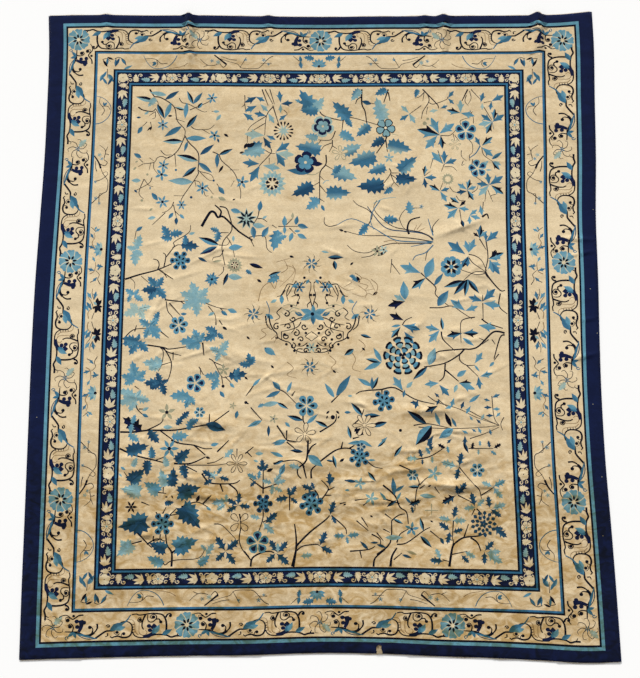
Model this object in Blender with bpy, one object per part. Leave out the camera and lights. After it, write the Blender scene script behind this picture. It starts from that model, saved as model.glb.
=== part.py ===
"""Old Chinese carpet, spread out flat with the soft ridges it has kept from use.

The carpet is one knotted sheet of wool pile on a cotton foundation. An overcast cord
finishes each long side, and the warps stand out of each short end as one short comb
of fringe. Metres, +Z up, +Y to the far end, +X to the right. The origin lies on the
floor under the middle of the whole carpet.
"""
from collections import namedtuple
import math

import bmesh
import bpy
from mathutils import Vector

# ---- driving dimensions, metres ------------------------------------------------------

HALF_WIDTH = 1.760            # nominal half width that the end table is read against
HALF_LENGTH = 2.030           # nominal half length that the side table is read against
BODY_THICKNESS = 0.010        # foundation and pile together
PIECE_GAP = 0.0003            # clearance between pieces
CORD_DIAMETER = 0.007         # overcast side cord
FRINGE_THICKNESS = 0.003
FRINGE_ROOT = 0.004           # band of plain weave that the warps stand out of
FRINGE_TOOTH_LENGTH = 0.009   # how far the warp ends stand out of that band
FRINGE_PITCH = 0.050          # from one bundle of warp ends to the next
FRINGE_TOOTH_WIDTH = 0.028
FRINGE_MARGIN = 0.030         # plain stretch of the band before the first bundle

COLUMN_STEP = 0.150           # widest spacing of the body's facets across
ROW_STEP = 0.250              # the same along, where no band below asks for less

# ---- tables, metres ------------------------------------------------------------------

# The long edges aren't straight: the loom's width wandered as the carpet was knotted.
Side = namedtuple("Side", "along left right")
SIDES = [
    Side(-2.03, -1.7540, 1.7615),
    Side(-1.65, -1.7585, 1.7510),
    Side(-1.25, -1.7605, 1.7370),
    Side(-0.85, -1.7625, 1.7200),
    Side(-0.45, -1.7650, 1.7145),
    Side(-0.10, -1.7660, 1.7185),
    Side(0.25, -1.7625, 1.7260),
    Side(0.65, -1.7510, 1.7290),
    Side(1.05, -1.7400, 1.7470),
    Side(1.45, -1.7380, 1.7570),
    Side(1.78, -1.7415, 1.7665),
    Side(2.03, -1.7550, 1.7640),
]

# The short ends: both bow inwards at the middle, and the right corners run long.
End = namedtuple("End", "across bottom top")
ENDS = [
    End(-1.76, -2.0310, 2.0130),
    End(-1.45, -2.0210, 2.0185),
    End(-1.10, -2.0130, 2.0145),
    End(-0.75, -2.0065, 2.0155),
    End(-0.45, -2.0040, 2.0100),
    End(0.00, -1.9910, 2.0050),
    End(0.40, -1.9965, 2.0090),
    End(0.70, -2.0100, 2.0100),
    End(1.00, -2.0190, 2.0130),
    End(1.30, -2.0330, 2.0150),
    End(1.55, -2.0475, 2.0210),
    End(1.76, -2.0420, 2.0420),
]

# Ripples that stand up at the far end and run out towards the middle.
Ripple = namedtuple("Ripple", "across height half_width reach")
RIPPLES = [
    Ripple(-1.387, 0.014, 0.045, 0.32),
    Ripple(-0.853, 0.046, 0.038, 0.44),
    Ripple(-0.333, 0.018, 0.045, 0.32),
    Ripple(0.682, 0.017, 0.042, 0.28),
    Ripple(0.800, 0.034, 0.046, 0.36),
    Ripple(1.405, 0.052, 0.055, 0.46),
]

# Soft ridges in the field, each along a straight line that dies away at both ends.
Fold = namedtuple("Fold", "x_from y_from x_to y_to height half_width")
FOLDS = [
    Fold(0.30, -0.590, 1.00, -0.555, 0.009, 0.055),
    Fold(0.36, -0.960, 0.76, -0.900, 0.008, 0.055),
    Fold(0.46, -1.015, 1.20, -1.015, 0.010, 0.055),
    Fold(-0.36, -0.890, 0.16, -0.940, 0.009, 0.055),
    Fold(-0.86, -0.590, -0.34, -0.710, 0.009, 0.055),
    Fold(-0.88, -1.040, -0.46, -1.130, 0.008, 0.055),
    Fold(0.16, -1.140, 0.68, -1.100, 0.007, 0.055),
    Fold(-0.68, -0.170, -0.28, -0.290, 0.008, 0.060),
    Fold(-0.44, 0.075, -0.04, 0.105, 0.007, 0.060),
    Fold(0.50, -0.130, 0.74, 0.040, 0.008, 0.060),
    Fold(0.62, 0.510, 1.18, 0.700, 0.008, 0.065),
]

# Bands where the rows of facets lie closer, so that they follow the folds.
Band = namedtuple("Band", "start stop step")
ROW_BANDS = [
    Band(-1.20, -0.50, 0.055),
    Band(-0.40, 0.75, 0.100),
    Band(1.55, 2.03, 0.096),
]

# ---- materials -----------------------------------------------------------------------

Finish = namedtuple("Finish", "color roughness metallic")
PILE_WOOL = Finish((0.71, 0.57, 0.37, 1.0), 0.95, 0.0)
NAVY_WOOL = Finish((0.020, 0.024, 0.075, 1.0), 0.92, 0.0)
WARP_COTTON = Finish((0.78, 0.70, 0.54, 1.0), 0.95, 0.0)


def make_material(name, finish):
    """Principled material of one plain finish."""
    material = bpy.data.materials.new(name)
    material.use_nodes = True
    shader = material.node_tree.nodes["Principled BSDF"]
    shader.inputs["Base Color"].default_value = finish.color
    shader.inputs["Roughness"].default_value = finish.roughness
    shader.inputs["Metallic"].default_value = finish.metallic
    material.diffuse_color = finish.color
    return material


# ---- the sheet's shape ---------------------------------------------------------------


def read_table(table, place, column):
    """Value of a column at a place, on a smooth curve through the table's rows.

    The first column holds the rows' places. The curve leaves each row at the slope
    between its two neighbours.
    """
    places = [row[0] for row in table]
    values = [getattr(row, column) for row in table]
    last = len(table) - 1
    first = max(i for i in range(last) if places[i] <= place or i == 0)
    second = first + 1

    def slope(i):
        before, after = max(i - 1, 0), min(i + 1, last)
        return (values[after] - values[before]) / (places[after] - places[before])

    span = places[second] - places[first]
    t = (place - places[first]) / span
    return ((1 + 2 * t) * (1 - t) ** 2 * values[first]
            + t ** 2 * (3 - 2 * t) * values[second]
            + t * (1 - t) ** 2 * span * slope(first)
            - t ** 2 * (1 - t) * span * slope(second))


def ridge(offset):
    """Round-topped ridge: 1 on its crest, 0 from an offset of 1 outwards."""
    if abs(offset) >= 1.0:
        return 0.0
    return 0.5 + 0.5 * math.cos(math.pi * offset)


def ripple_lift(across, along):
    """Height of the far end's ripples, which fade away from that end."""
    inward = HALF_LENGTH - along
    return sum(r.height * ridge((across - r.across) / r.half_width) * ridge(inward / r.reach)
               for r in RIPPLES)


def fold_lift(across, along):
    """Height of the field's soft ridges."""
    lift = 0.0
    for fold in FOLDS:
        run = Vector((fold.x_to - fold.x_from, fold.y_to - fold.y_from))
        offset = Vector((across - fold.x_from, along - fold.y_from))
        middle = 2.0 * offset.dot(run) / run.length_squared - 1.0
        beside = run.normalized().cross(offset)
        lift += fold.height * ridge(middle) * ridge(beside / fold.half_width)
    return lift


def sheet_point(across, along):
    """Underside of the sheet at a nominal place across and along it."""
    left = read_table(SIDES, along, "left")
    right = read_table(SIDES, along, "right")
    bottom = read_table(ENDS, across, "bottom")
    top = read_table(ENDS, across, "top")
    x = left + (right - left) * (across + HALF_WIDTH) / (2 * HALF_WIDTH)
    y = bottom + (top - bottom) * (along + HALF_LENGTH) / (2 * HALF_LENGTH)
    return Vector((x, y, ripple_lift(across, along) + fold_lift(across, along)))


def filled(stations, step):
    """The stations in order, with more between them wherever two lie over a step apart."""
    ordered = sorted(set(stations))
    result = [ordered[0]]
    for before, after in zip(ordered, ordered[1:]):
        count = math.ceil((after - before) / step - 1e-6)
        result += [before + (after - before) * i / count for i in range(1, count + 1)]
    return result


def body_columns():
    """Where the facets meet across: at each ripple's crest and feet, then evenly."""
    stations = [-HALF_WIDTH, HALF_WIDTH]
    for r in RIPPLES:
        shares = (-1.0, -0.5, 0.0, 0.5, 1.0) if r.height > 0.030 else (-1.0, 0.0, 1.0)
        stations += [r.across + share * r.half_width for share in shares]
    return filled(stations, COLUMN_STEP)


def body_rows():
    """Where the facets meet along: closely in the bands that hold folds."""
    stations = [-HALF_LENGTH, HALF_LENGTH]
    for band in ROW_BANDS:
        stations += filled([band.start, band.stop], band.step)
    return filled(stations, ROW_STEP)


# ---- pieces --------------------------------------------------------------------------


def grid_through(mesh, rows):
    """Flat grid primitive whose points are moved onto rows of points.

    Returns the grid's points in the same rows.
    """
    across, along = len(rows[0]) - 1, len(rows) - 1
    bmesh.ops.create_grid(mesh, x_segments=across, y_segments=along, size=1.0)
    verts = [[None] * len(row) for row in rows]
    for vert in mesh.verts:
        column = round((vert.co.x + 1.0) / 2.0 * across)
        row = round((vert.co.y + 1.0) / 2.0 * along)
        verts[row][column] = vert
        vert.co = rows[row][column]
    return verts


def thicken(mesh, thickness):
    """Close an open sheet by a copy of it straight above, and walls round its edge."""
    bmesh.ops.triangulate(mesh, faces=mesh.faces[:])
    raised = bmesh.ops.extrude_face_region(mesh, geom=mesh.faces[:], use_keep_orig=True)
    top = [item for item in raised["geom"] if isinstance(item, bmesh.types.BMVert)]
    bmesh.ops.translate(mesh, verts=top, vec=(0.0, 0.0, thickness))
    bmesh.ops.recalc_face_normals(mesh, faces=mesh.faces[:])


def finish_object(name, mesh, finish, collection):
    """Turn a bmesh into a named object with its own material."""
    data = bpy.data.meshes.new(name)
    mesh.to_mesh(data)
    mesh.free()
    data.materials.append(make_material(name + "_finish", finish))
    piece = bpy.data.objects.new(name, data)
    collection.objects.link(piece)
    return piece


def make_body(collection):
    """The knotted sheet with its ripples and folds."""
    mesh = bmesh.new()
    columns = body_columns()
    grid_through(mesh, [[sheet_point(c, r) for c in columns] for r in body_rows()])
    thicken(mesh, BODY_THICKNESS)
    return finish_object("carpet_body", mesh, PILE_WOOL, collection)


def make_selvedge(name, side, collection):
    """Overcast cord along a long side: -1 for the left, 1 for the right."""
    radius = CORD_DIAMETER / 2
    curve = bpy.data.curves.new(name, "CURVE")
    curve.dimensions = "3D"
    curve.bevel_depth = radius
    curve.bevel_resolution = 2
    curve.use_fill_caps = True
    rows = body_rows()
    spline = curve.splines.new("POLY")
    spline.points.add(len(rows) - 1)
    for point, along in zip(spline.points, rows):
        edge = sheet_point(side * HALF_WIDTH, along)
        middle = edge + Vector((side * (PIECE_GAP + radius), 0.0, radius))
        point.co = (*middle, 1.0)
    curve.materials.append(make_material(name + "_finish", NAVY_WOOL))
    cord = bpy.data.objects.new(name, curve)
    collection.objects.link(cord)
    return cord


def bundle_spans():
    """Start and stop, across, of each bundle of warp ends."""
    count = int((2 * (HALF_WIDTH - FRINGE_MARGIN) - FRINGE_TOOTH_WIDTH) // FRINGE_PITCH) + 1
    first = -FRINGE_PITCH * (count - 1) / 2
    middles = [first + FRINGE_PITCH * i for i in range(count)]
    return [(m - FRINGE_TOOTH_WIDTH / 2, m + FRINGE_TOOTH_WIDTH / 2) for m in middles]


def edge_point(columns, across, along):
    """Point on the body's end, which runs straight from column to column."""
    after = next(i for i, c in enumerate(columns) if c >= across and i > 0)
    before = after - 1
    share = (across - columns[before]) / (columns[after] - columns[before])
    return sheet_point(columns[before], along).lerp(sheet_point(columns[after], along), share)


def make_fringe(name, end, collection):
    """Comb of warp ends along a short end: -1 for the near end, 1 for the far one."""
    mesh = bmesh.new()
    columns = body_columns()
    spans = bundle_spans()
    stations = sorted({*columns, *(place for span in spans for place in span)})
    edge = [edge_point(columns, s, end * HALF_LENGTH) for s in stations]
    inner = [point + Vector((0.0, end * PIECE_GAP, 0.0)) for point in edge]
    outer = [point + Vector((0.0, end * FRINGE_ROOT, 0.0)) for point in inner]
    rim = grid_through(mesh, [inner, outer])[1]
    for start, stop in spans:
        held = rim[stations.index(start):stations.index(stop) + 1]
        tooth = [mesh.edges.get(pair) for pair in zip(held, held[1:])]
        grown = bmesh.ops.extrude_edge_only(mesh, edges=tooth)
        tips = [item for item in grown["geom"] if isinstance(item, bmesh.types.BMVert)]
        bmesh.ops.translate(mesh, verts=tips, vec=(0.0, end * FRINGE_TOOTH_LENGTH, 0.0))
    thicken(mesh, FRINGE_THICKNESS)
    return finish_object(name, mesh, WARP_COTTON, collection)


def centre_on_origin(pieces):
    """Move every piece so that the whole carpet's box is centred over the origin."""
    bpy.context.view_layer.update()
    corners = [Vector(corner) for piece in pieces for corner in piece.bound_box]
    middle = [(min(c[axis] for c in corners) + max(c[axis] for c in corners)) / 2
              for axis in (0, 1)]
    for piece in pieces:
        piece.location = (-middle[0], -middle[1], 0.0)


def main():
    for old in list(bpy.data.objects):
        bpy.data.objects.remove(old)
    collection = bpy.data.collections.new("chinese_rug")
    bpy.context.scene.collection.children.link(collection)
    pieces = [
        make_body(collection),
        make_selvedge("selvedge_left", -1, collection),
        make_selvedge("selvedge_right", 1, collection),
        make_fringe("fringe_top", 1, collection),
        make_fringe("fringe_bottom", -1, collection),
    ]
    centre_on_origin(pieces)


main()
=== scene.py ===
# %% [markdown]
# # An old Chinese carpet, laid out flat
# The carpet is a hand-knotted sheet: cotton warps, rows of wool knots tied round them, and a
# cord overcast along each long side. It is about 3.5 m wide and 4.1 m long, and it has lain
# rolled and folded long enough to keep ripples along its far end and creases in its field.
#
# A carpet's picture is made of its own yarn, so this scene makes it of its own mesh. Each
# leaf, petal and scroll is an outline in centimetres that is cut into the pile's surface, and
# each face takes the dye of the motif that it lies in. Edges stay clean from close up.

# %% Load the measured model: every piece below takes its place from it
import math
import random
from collections import namedtuple

import bmesh
import bpy
import numpy as np
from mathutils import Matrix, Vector, geometry, noise


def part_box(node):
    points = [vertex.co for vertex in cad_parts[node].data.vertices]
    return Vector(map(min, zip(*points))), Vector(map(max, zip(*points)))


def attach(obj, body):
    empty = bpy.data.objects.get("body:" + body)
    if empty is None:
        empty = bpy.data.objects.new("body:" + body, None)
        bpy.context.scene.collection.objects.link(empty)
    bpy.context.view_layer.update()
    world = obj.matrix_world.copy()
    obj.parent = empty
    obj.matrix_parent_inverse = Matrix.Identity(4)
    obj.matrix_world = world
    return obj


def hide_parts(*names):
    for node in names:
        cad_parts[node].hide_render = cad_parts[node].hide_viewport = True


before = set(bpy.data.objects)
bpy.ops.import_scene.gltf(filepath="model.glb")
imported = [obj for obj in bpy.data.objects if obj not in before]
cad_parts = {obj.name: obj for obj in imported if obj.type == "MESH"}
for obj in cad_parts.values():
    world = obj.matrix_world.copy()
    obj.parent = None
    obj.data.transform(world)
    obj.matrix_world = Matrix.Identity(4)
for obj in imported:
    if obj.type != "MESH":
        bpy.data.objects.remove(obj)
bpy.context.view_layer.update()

# %% [markdown]
# ## The sheet's outline and its lie
# No old carpet is a true rectangle. The width wandered as it was knotted, and both short
# ends bow inwards. The tables are the ones that the model was built with, in metres: the edges
# at a few stations, joined by a smooth curve, the far end's ripples and the field's ridges.

# %% The model's tables, metres
HALF_WIDTH = 1.760
HALF_LENGTH = 2.030
BODY_THICKNESS = 0.010        # foundation and pile together
PIECE_GAP = 0.0003            # clearance between pieces
CORD_DIAMETER = 0.007         # overcast side cord
FRINGE_ROOT = 0.004           # band of plain weave that the warps stand out of
FRINGE_LENGTH = 0.009         # how far the warp ends stand out of that band

Side = namedtuple("Side", "along left right")
SIDES = [
    Side(-2.03, -1.7540, 1.7615), Side(-1.65, -1.7585, 1.7510), Side(-1.25, -1.7605, 1.7370),
    Side(-0.85, -1.7625, 1.7200), Side(-0.45, -1.7650, 1.7145), Side(-0.10, -1.7660, 1.7185),
    Side(0.25, -1.7625, 1.7260), Side(0.65, -1.7510, 1.7290), Side(1.05, -1.7400, 1.7470),
    Side(1.45, -1.7380, 1.7570), Side(1.78, -1.7415, 1.7665), Side(2.03, -1.7550, 1.7640),
]

End = namedtuple("End", "across bottom top")
ENDS = [
    End(-1.76, -2.0310, 2.0130), End(-1.45, -2.0210, 2.0185), End(-1.10, -2.0130, 2.0145),
    End(-0.75, -2.0065, 2.0155), End(-0.45, -2.0040, 2.0100), End(0.00, -1.9910, 2.0050),
    End(0.40, -1.9965, 2.0090), End(0.70, -2.0100, 2.0100), End(1.00, -2.0190, 2.0130),
    End(1.30, -2.0330, 2.0150), End(1.55, -2.0475, 2.0210), End(1.76, -2.0420, 2.0420),
]

Ripple = namedtuple("Ripple", "across height half_width reach")
RIPPLES = [
    Ripple(-1.387, 0.014, 0.045, 0.32), Ripple(-0.853, 0.046, 0.038, 0.44),
    Ripple(-0.333, 0.018, 0.045, 0.32), Ripple(0.682, 0.017, 0.042, 0.28),
    Ripple(0.800, 0.034, 0.046, 0.36), Ripple(1.405, 0.052, 0.055, 0.46),
]

Fold = namedtuple("Fold", "x_from y_from x_to y_to height half_width")
FOLDS = [
    Fold(0.30, -0.590, 1.00, -0.555, 0.009, 0.055), Fold(0.36, -0.960, 0.76, -0.900, 0.008, 0.055),
    Fold(0.46, -1.015, 1.20, -1.015, 0.010, 0.055), Fold(-0.36, -0.890, 0.16, -0.940, 0.009, 0.055),
    Fold(-0.86, -0.590, -0.34, -0.710, 0.009, 0.055), Fold(-0.88, -1.040, -0.46, -1.130, 0.008, 0.055),
    Fold(0.16, -1.140, 0.68, -1.100, 0.007, 0.055), Fold(-0.68, -0.170, -0.28, -0.290, 0.008, 0.060),
    Fold(-0.44, 0.075, -0.04, 0.105, 0.007, 0.060), Fold(0.50, -0.130, 0.74, 0.040, 0.008, 0.060),
    Fold(0.62, 0.510, 1.18, 0.700, 0.008, 0.065),
]

# %% [markdown]
# The model holds the folds that matter to its shape. This scene adds the finer creases:
# sharper, a few millimetres high, each dying away at both ends.

# %% Fine creases, in metres
CREASES = [
    Fold(0.50, -0.580, 0.93, -0.565, 0.009, 0.024), Fold(0.40, -0.965, 0.70, -0.910, 0.006, 0.022),
    Fold(0.50, -1.020, 1.15, -1.030, 0.010, 0.024), Fold(-0.78, -0.620, -0.55, -0.700, 0.008, 0.024),
    Fold(-0.82, -1.060, -0.54, -1.135, 0.006, 0.022), Fold(0.20, -1.150, 0.62, -1.120, 0.006, 0.020),
    Fold(-0.61, -0.205, -0.48, -0.275, 0.007, 0.022), Fold(0.54, -0.110, 0.69, 0.005, 0.007, 0.022),
    Fold(0.69, 0.515, 1.11, 0.665, 0.006, 0.022), Fold(0.59, -0.675, 1.11, -0.715, 0.006, 0.022),
    Fold(0.38, -0.840, 0.80, -0.800, 0.007, 0.022), Fold(1.50, 0.540, 1.80, 0.500, 0.010, 0.022),
    Fold(1.54, 0.410, 1.79, 0.440, 0.008, 0.020), Fold(1.58, 0.000, 1.78, 0.010, 0.007, 0.020),
    Fold(1.54, -0.250, 1.79, -0.200, 0.010, 0.022),
]

# %% Small wrinkles, strewn by a seeded draw, most of them over the near half
WRINKLE_COUNT = 250
dice = random.Random(11)


def small_wrinkle():
    """Short crease at a drawn place, running across the carpet or nearly so."""
    x, y = dice.uniform(-1.20, 1.12), dice.triangular(-1.50, 1.20, -1.15)
    reach, lean = dice.uniform(0.07, 0.20), dice.gauss(0.0, 0.40)
    dx, dy = reach * math.cos(lean), reach * math.sin(lean)
    height = dice.uniform(0.0020, 0.0052)
    return Fold(x - dx, y - dy, x + dx, y + dy, height, dice.uniform(0.015, 0.024))


CREASES += [small_wrinkle() for _ in range(WRINKLE_COUNT)]
print(len(CREASES), "creases")


# %% Read the tables for whole arrays of places at once
def read_table(table, place, column):
    """Values of a column at an array of places, on a smooth curve through the rows."""
    places = np.array([row[0] for row in table])
    values = np.array([getattr(row, column) for row in table])
    before = np.maximum(np.arange(len(table)) - 1, 0)
    after = np.minimum(np.arange(len(table)) + 1, len(table) - 1)
    slopes = (values[after] - values[before]) / (places[after] - places[before])
    i = np.clip(np.searchsorted(places, place, side="right") - 1, 0, len(table) - 2)
    span = places[i + 1] - places[i]
    t = np.clip((place - places[i]) / span, 0.0, 1.0)
    return ((1 + 2 * t) * (1 - t) ** 2 * values[i] + t ** 2 * (3 - 2 * t) * values[i + 1]
            + t * (1 - t) ** 2 * span * slopes[i] - t ** 2 * (1 - t) * span * slopes[i + 1])


def ridge(offset):
    """Round-topped ridge: 1 on its crest, 0 from an offset of 1 outwards."""
    return 0.5 + 0.5 * np.cos(np.pi * np.clip(offset, -1.0, 1.0))


def ripple_lift(across, along):
    """Height of the far end's ripples, which fade away from that end."""
    fade = [ridge((HALF_LENGTH - along) / r.reach) for r in RIPPLES]
    return sum(r.height * ridge((across - r.across) / r.half_width) * share
               for r, share in zip(RIPPLES, fade))


def fold_lift(across, along, folds):
    """Height of ridges that each run along a straight line and die away at its ends."""
    lift = np.zeros_like(across)
    order = np.argsort(along)
    ordered = along[order]
    for fold in folds:
        low = min(fold.y_from, fold.y_to) - fold.half_width
        high = max(fold.y_from, fold.y_to) + fold.half_width
        near = order[np.searchsorted(ordered, low):np.searchsorted(ordered, high)]
        run = np.array((fold.x_to - fold.x_from, fold.y_to - fold.y_from))
        dx, dy = across[near] - fold.x_from, along[near] - fold.y_from
        middle = 2.0 * (dx * run[0] + dy * run[1]) / run.dot(run) - 1.0
        beside = (run[0] * dy - run[1] * dx) / math.sqrt(run.dot(run))
        lift[near] += fold.height * ridge(middle) * ridge(beside / fold.half_width)
    return lift


# %% [markdown]
# ## Plan and nominal places
# The tables are read at nominal places, on a true rectangle. Motifs are laid out on the
# plan, the carpet as it lies. Going back from the plan means undoing the bowed edges, and
# since they bow by so little, three rounds of correction are enough.

# %% From the plan to the nominal rectangle, and to the height there
edge_x = np.concatenate([read_table(SIDES, np.linspace(-HALF_LENGTH, HALF_LENGTH, 200), side)
                         for side in ("left", "right")])
edge_y = np.concatenate([read_table(ENDS, np.linspace(-HALF_WIDTH, HALF_WIDTH, 200), end)
                         for end in ("bottom", "top")])
body_low, body_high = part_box("carpet_body")
SHIFT_X = (body_low[0] + body_high[0] - edge_x.min() - edge_x.max()) / 2
SHIFT_Y = (body_low[1] + body_high[1] - edge_y.min() - edge_y.max()) / 2


def nominal(x, y):
    """Nominal place across and along of points of the plan."""
    x, y = x - SHIFT_X, y - SHIFT_Y
    across, along = x.copy(), y.copy()
    for _ in range(3):
        left, right = read_table(SIDES, along, "left"), read_table(SIDES, along, "right")
        bottom, top = read_table(ENDS, across, "bottom"), read_table(ENDS, across, "top")
        across = (x - left) / (right - left) * 2 * HALF_WIDTH - HALF_WIDTH
        along = (y - bottom) / (top - bottom) * 2 * HALF_LENGTH - HALF_LENGTH
    return across, along


COCKLE_HEIGHT = 0.0050        # greatest height of the shallow cockles


def cockles(across, along):
    """Shallow cockles that run across the carpet, stronger towards its near end."""
    strength = 0.30 + 0.70 * ridge(np.clip((along + 0.70) / 0.60, 0.0, 1.0))
    from_edge = np.minimum(HALF_WIDTH - np.abs(across), HALF_LENGTH - np.abs(along))
    strength = strength * (1.0 - ridge(np.clip(from_edge / 0.45, 0.0, 1.0)))
    bent = along + 0.05 * np.sin(4.7 * across + 0.8) + 0.025 * np.sin(12.0 * across + 5.0 * along)
    patch = 0.5 + 0.5 * np.sin(3.1 * across + 1.0) * np.sin(4.3 * along + 2.0 * across)
    waves = (0.42 * np.sin(bent * 78.0) + 0.30 * np.sin(bent * 52.0 + 9.0 * across + 1.2)
             + 0.28 * np.sin(bent * 33.0 - 8.0 * across))
    return COCKLE_HEIGHT * strength * patch * np.clip(0.45 + 0.55 * waves, 0.0, 1.0)


def lift_at(x, y):
    """Height of the sheet's underside over the floor at points of the plan, metres."""
    across, along = nominal(x, y)
    return (ripple_lift(across, along) + fold_lift(across, along, FOLDS)
            + fold_lift(across, along, CREASES) + cockles(across, along))


print(f"plan shifted by {SHIFT_X * 1000:.1f} and {SHIFT_Y * 1000:.1f} mm onto the model")

# %% [markdown]
# ## Dyes
# The wool was dyed with indigo in many strengths, with near-black for lines, and left undyed
# for the cream ground. Each dye gets one letter, so that a motif's colours are a short word in
# the charts below. Dyes are easiest to choose as screen values from 0 to 255, and one helper
# turns them into the linear values that Blender's shaders use.

# %% Dyes by letter, as screen colours from 0 to 255
DYES = {
    "k": (10, 14, 32),      # near-black outline
    "n": (18, 28, 64),      # navy
    "d": (32, 70, 100),     # deep indigo
    "m": (58, 108, 138),    # middle blue
    "b": (88, 142, 168),    # bright blue
    "t": (128, 168, 178),   # light turquoise
    "p": (158, 184, 180),   # pale teal
    "l": (54, 110, 150),    # the clear blue of the border's lines
    "q": (98, 152, 174),    # the turquoise line's own blue
    "g": (160, 158, 132),   # faded green grey
    "s": (50, 46, 50),      # stem brown
    "o": (146, 122, 92),    # faint tan outline
    "c": (226, 206, 170),   # cream ground
    "w": (224, 210, 178),   # light cream
}


def to_linear(screen):
    """Linear value of one screen channel from 0 to 255."""
    share = screen / 255.0
    return share / 12.92 if share <= 0.04045 else ((share + 0.055) / 1.055) ** 2.4


DYE_LINEAR = {letter: tuple(to_linear(v) for v in rgb) for letter, rgb in DYES.items()}


# %% [markdown]
# ## Patches
# On the loom a motif is just a group of knots tied in another yarn. Here it is one or more
# patches: a closed outline in the plane of the carpet, with a dye at its start and one at its
# end, so that indigo can fade across a leaf as in hand-dyed wool. Later cells cut these
# outlines into the pile's mesh, in the order in which they were laid down.

# %% A patch of knots, and the list that collects them
Patch = namedtuple("Patch", "outline start_dye end_dye start end")


class Chart:
    """Patches of one band of the carpet, in centimetres, first laid down first."""

    def __init__(self):
        self.patches = []

    def add(self, outline, dye, end_dye=None, start=(0.0, 0.0), end=(0.0, 1.0)):
        self.patches.append(Patch(outline, dye, end_dye or dye, start, end))


def rows(text):
    """Items of a chart, each with the words of its head, and with numbers as numbers.

    A line reads "head: item, item, ...", and one without a head goes on with the last.
    A line that starts with # is a remark.
    """
    def read(words):
        return [float(w) if w.lstrip("-").replace(".", "", 1).isdigit() else w
                for w in words.split()]

    for line in text.strip().splitlines():
        if line.startswith("#"):
            continue
        if ":" in line:
            head, line = line.split(":")
        for item in line.split(","):
            yield read(head), read(item)


# %% Plane geometry that the motifs share
def polar(centre, radius, turn):
    """Point at a distance and a direction in degrees from a centre."""
    angle = math.radians(turn)
    return (centre[0] + radius * math.cos(angle), centre[1] + radius * math.sin(angle))


def along_axis(base, tip, shape):
    """Outline on an axis from base to tip: shape holds (share along, share beside)."""
    dx, dy = tip[0] - base[0], tip[1] - base[1]
    return [(base[0] + u * dx - v * dy, base[1] + u * dy + v * dx) for u, v in shape]


def smooth_path(points, steps=4):
    """Catmull-Rom curve through the points."""
    if len(points) < 3:
        return list(points)
    ends = [points[0]] + list(points) + [points[-1]]
    path = []
    for p0, p1, p2, p3 in zip(ends, ends[1:], ends[2:], ends[3:]):
        for i in range(steps):
            t = i / steps
            path.append(tuple(
                0.5 * (2 * b + (c - a) * t + (2 * a - 5 * b + 4 * c - d) * t * t
                       + (3 * b - a - 3 * c + d) * t ** 3)
                for a, b, c, d in zip(p0, p1, p2, p3)))
    path.append(tuple(points[-1]))
    return path


# %% [markdown]
# ## Stems and scrolls
# Stems, tendrils and the frets of the medallion are lines of dark knots that taper to
# nothing. A stroke takes a few points, runs a smooth curve through them and gives it a
# width at each end. A curl is a stroke whose points come from a spiral.

# %% Strokes
def stroke(chart, dye, width, points, end_width=None):
    """Tapering line through points."""
    path = smooth_path(points)
    last = len(path) - 1
    end_width = width * 0.55 if end_width is None else end_width
    left, right = [], []
    for i, (x, y) in enumerate(path):
        before, after = path[max(i - 1, 0)], path[min(i + 1, last)]
        dx, dy = after[0] - before[0], after[1] - before[1]
        length = math.hypot(dx, dy) or 1.0
        half = (width + (end_width - width) * i / last) / 2
        left.append((x - dy / length * half, y + dx / length * half))
        right.append((x + dy / length * half, y - dx / length * half))
    chart.add(left + right[::-1], dye)


def curl(chart, dye, width, centre, radius, turn, sweep):
    """Spiral that winds from its outer end, at a direction in degrees, in to a dot."""
    count = max(5, int(abs(sweep) / 40))
    points = []
    for i in range(count + 1):
        share = i / count
        points.append(polar(centre, radius * (1 - 0.72 * share), turn + sweep * share))
    stroke(chart, dye, width, points, width * 1.1)
    dot(chart, dye, points[-1], width * 0.85)


def dot(chart, dye, centre, radius, sides=8):
    """Round spot of knots."""
    chart.add([polar(centre, radius, 360 * i / sides) for i in range(sides)], dye)


# %% [markdown]
# ## Leaves
# Every leaf runs from a base to a tip and is two patches that meet at its midrib. Its colour
# word has one letter for a plain leaf, whose left edge pales a little, two for a leaf whose
# halves differ, and three where the colour runs from the left edge through the midrib to
# the right edge. Halves meet softly, unless one of them is near-black.

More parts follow.
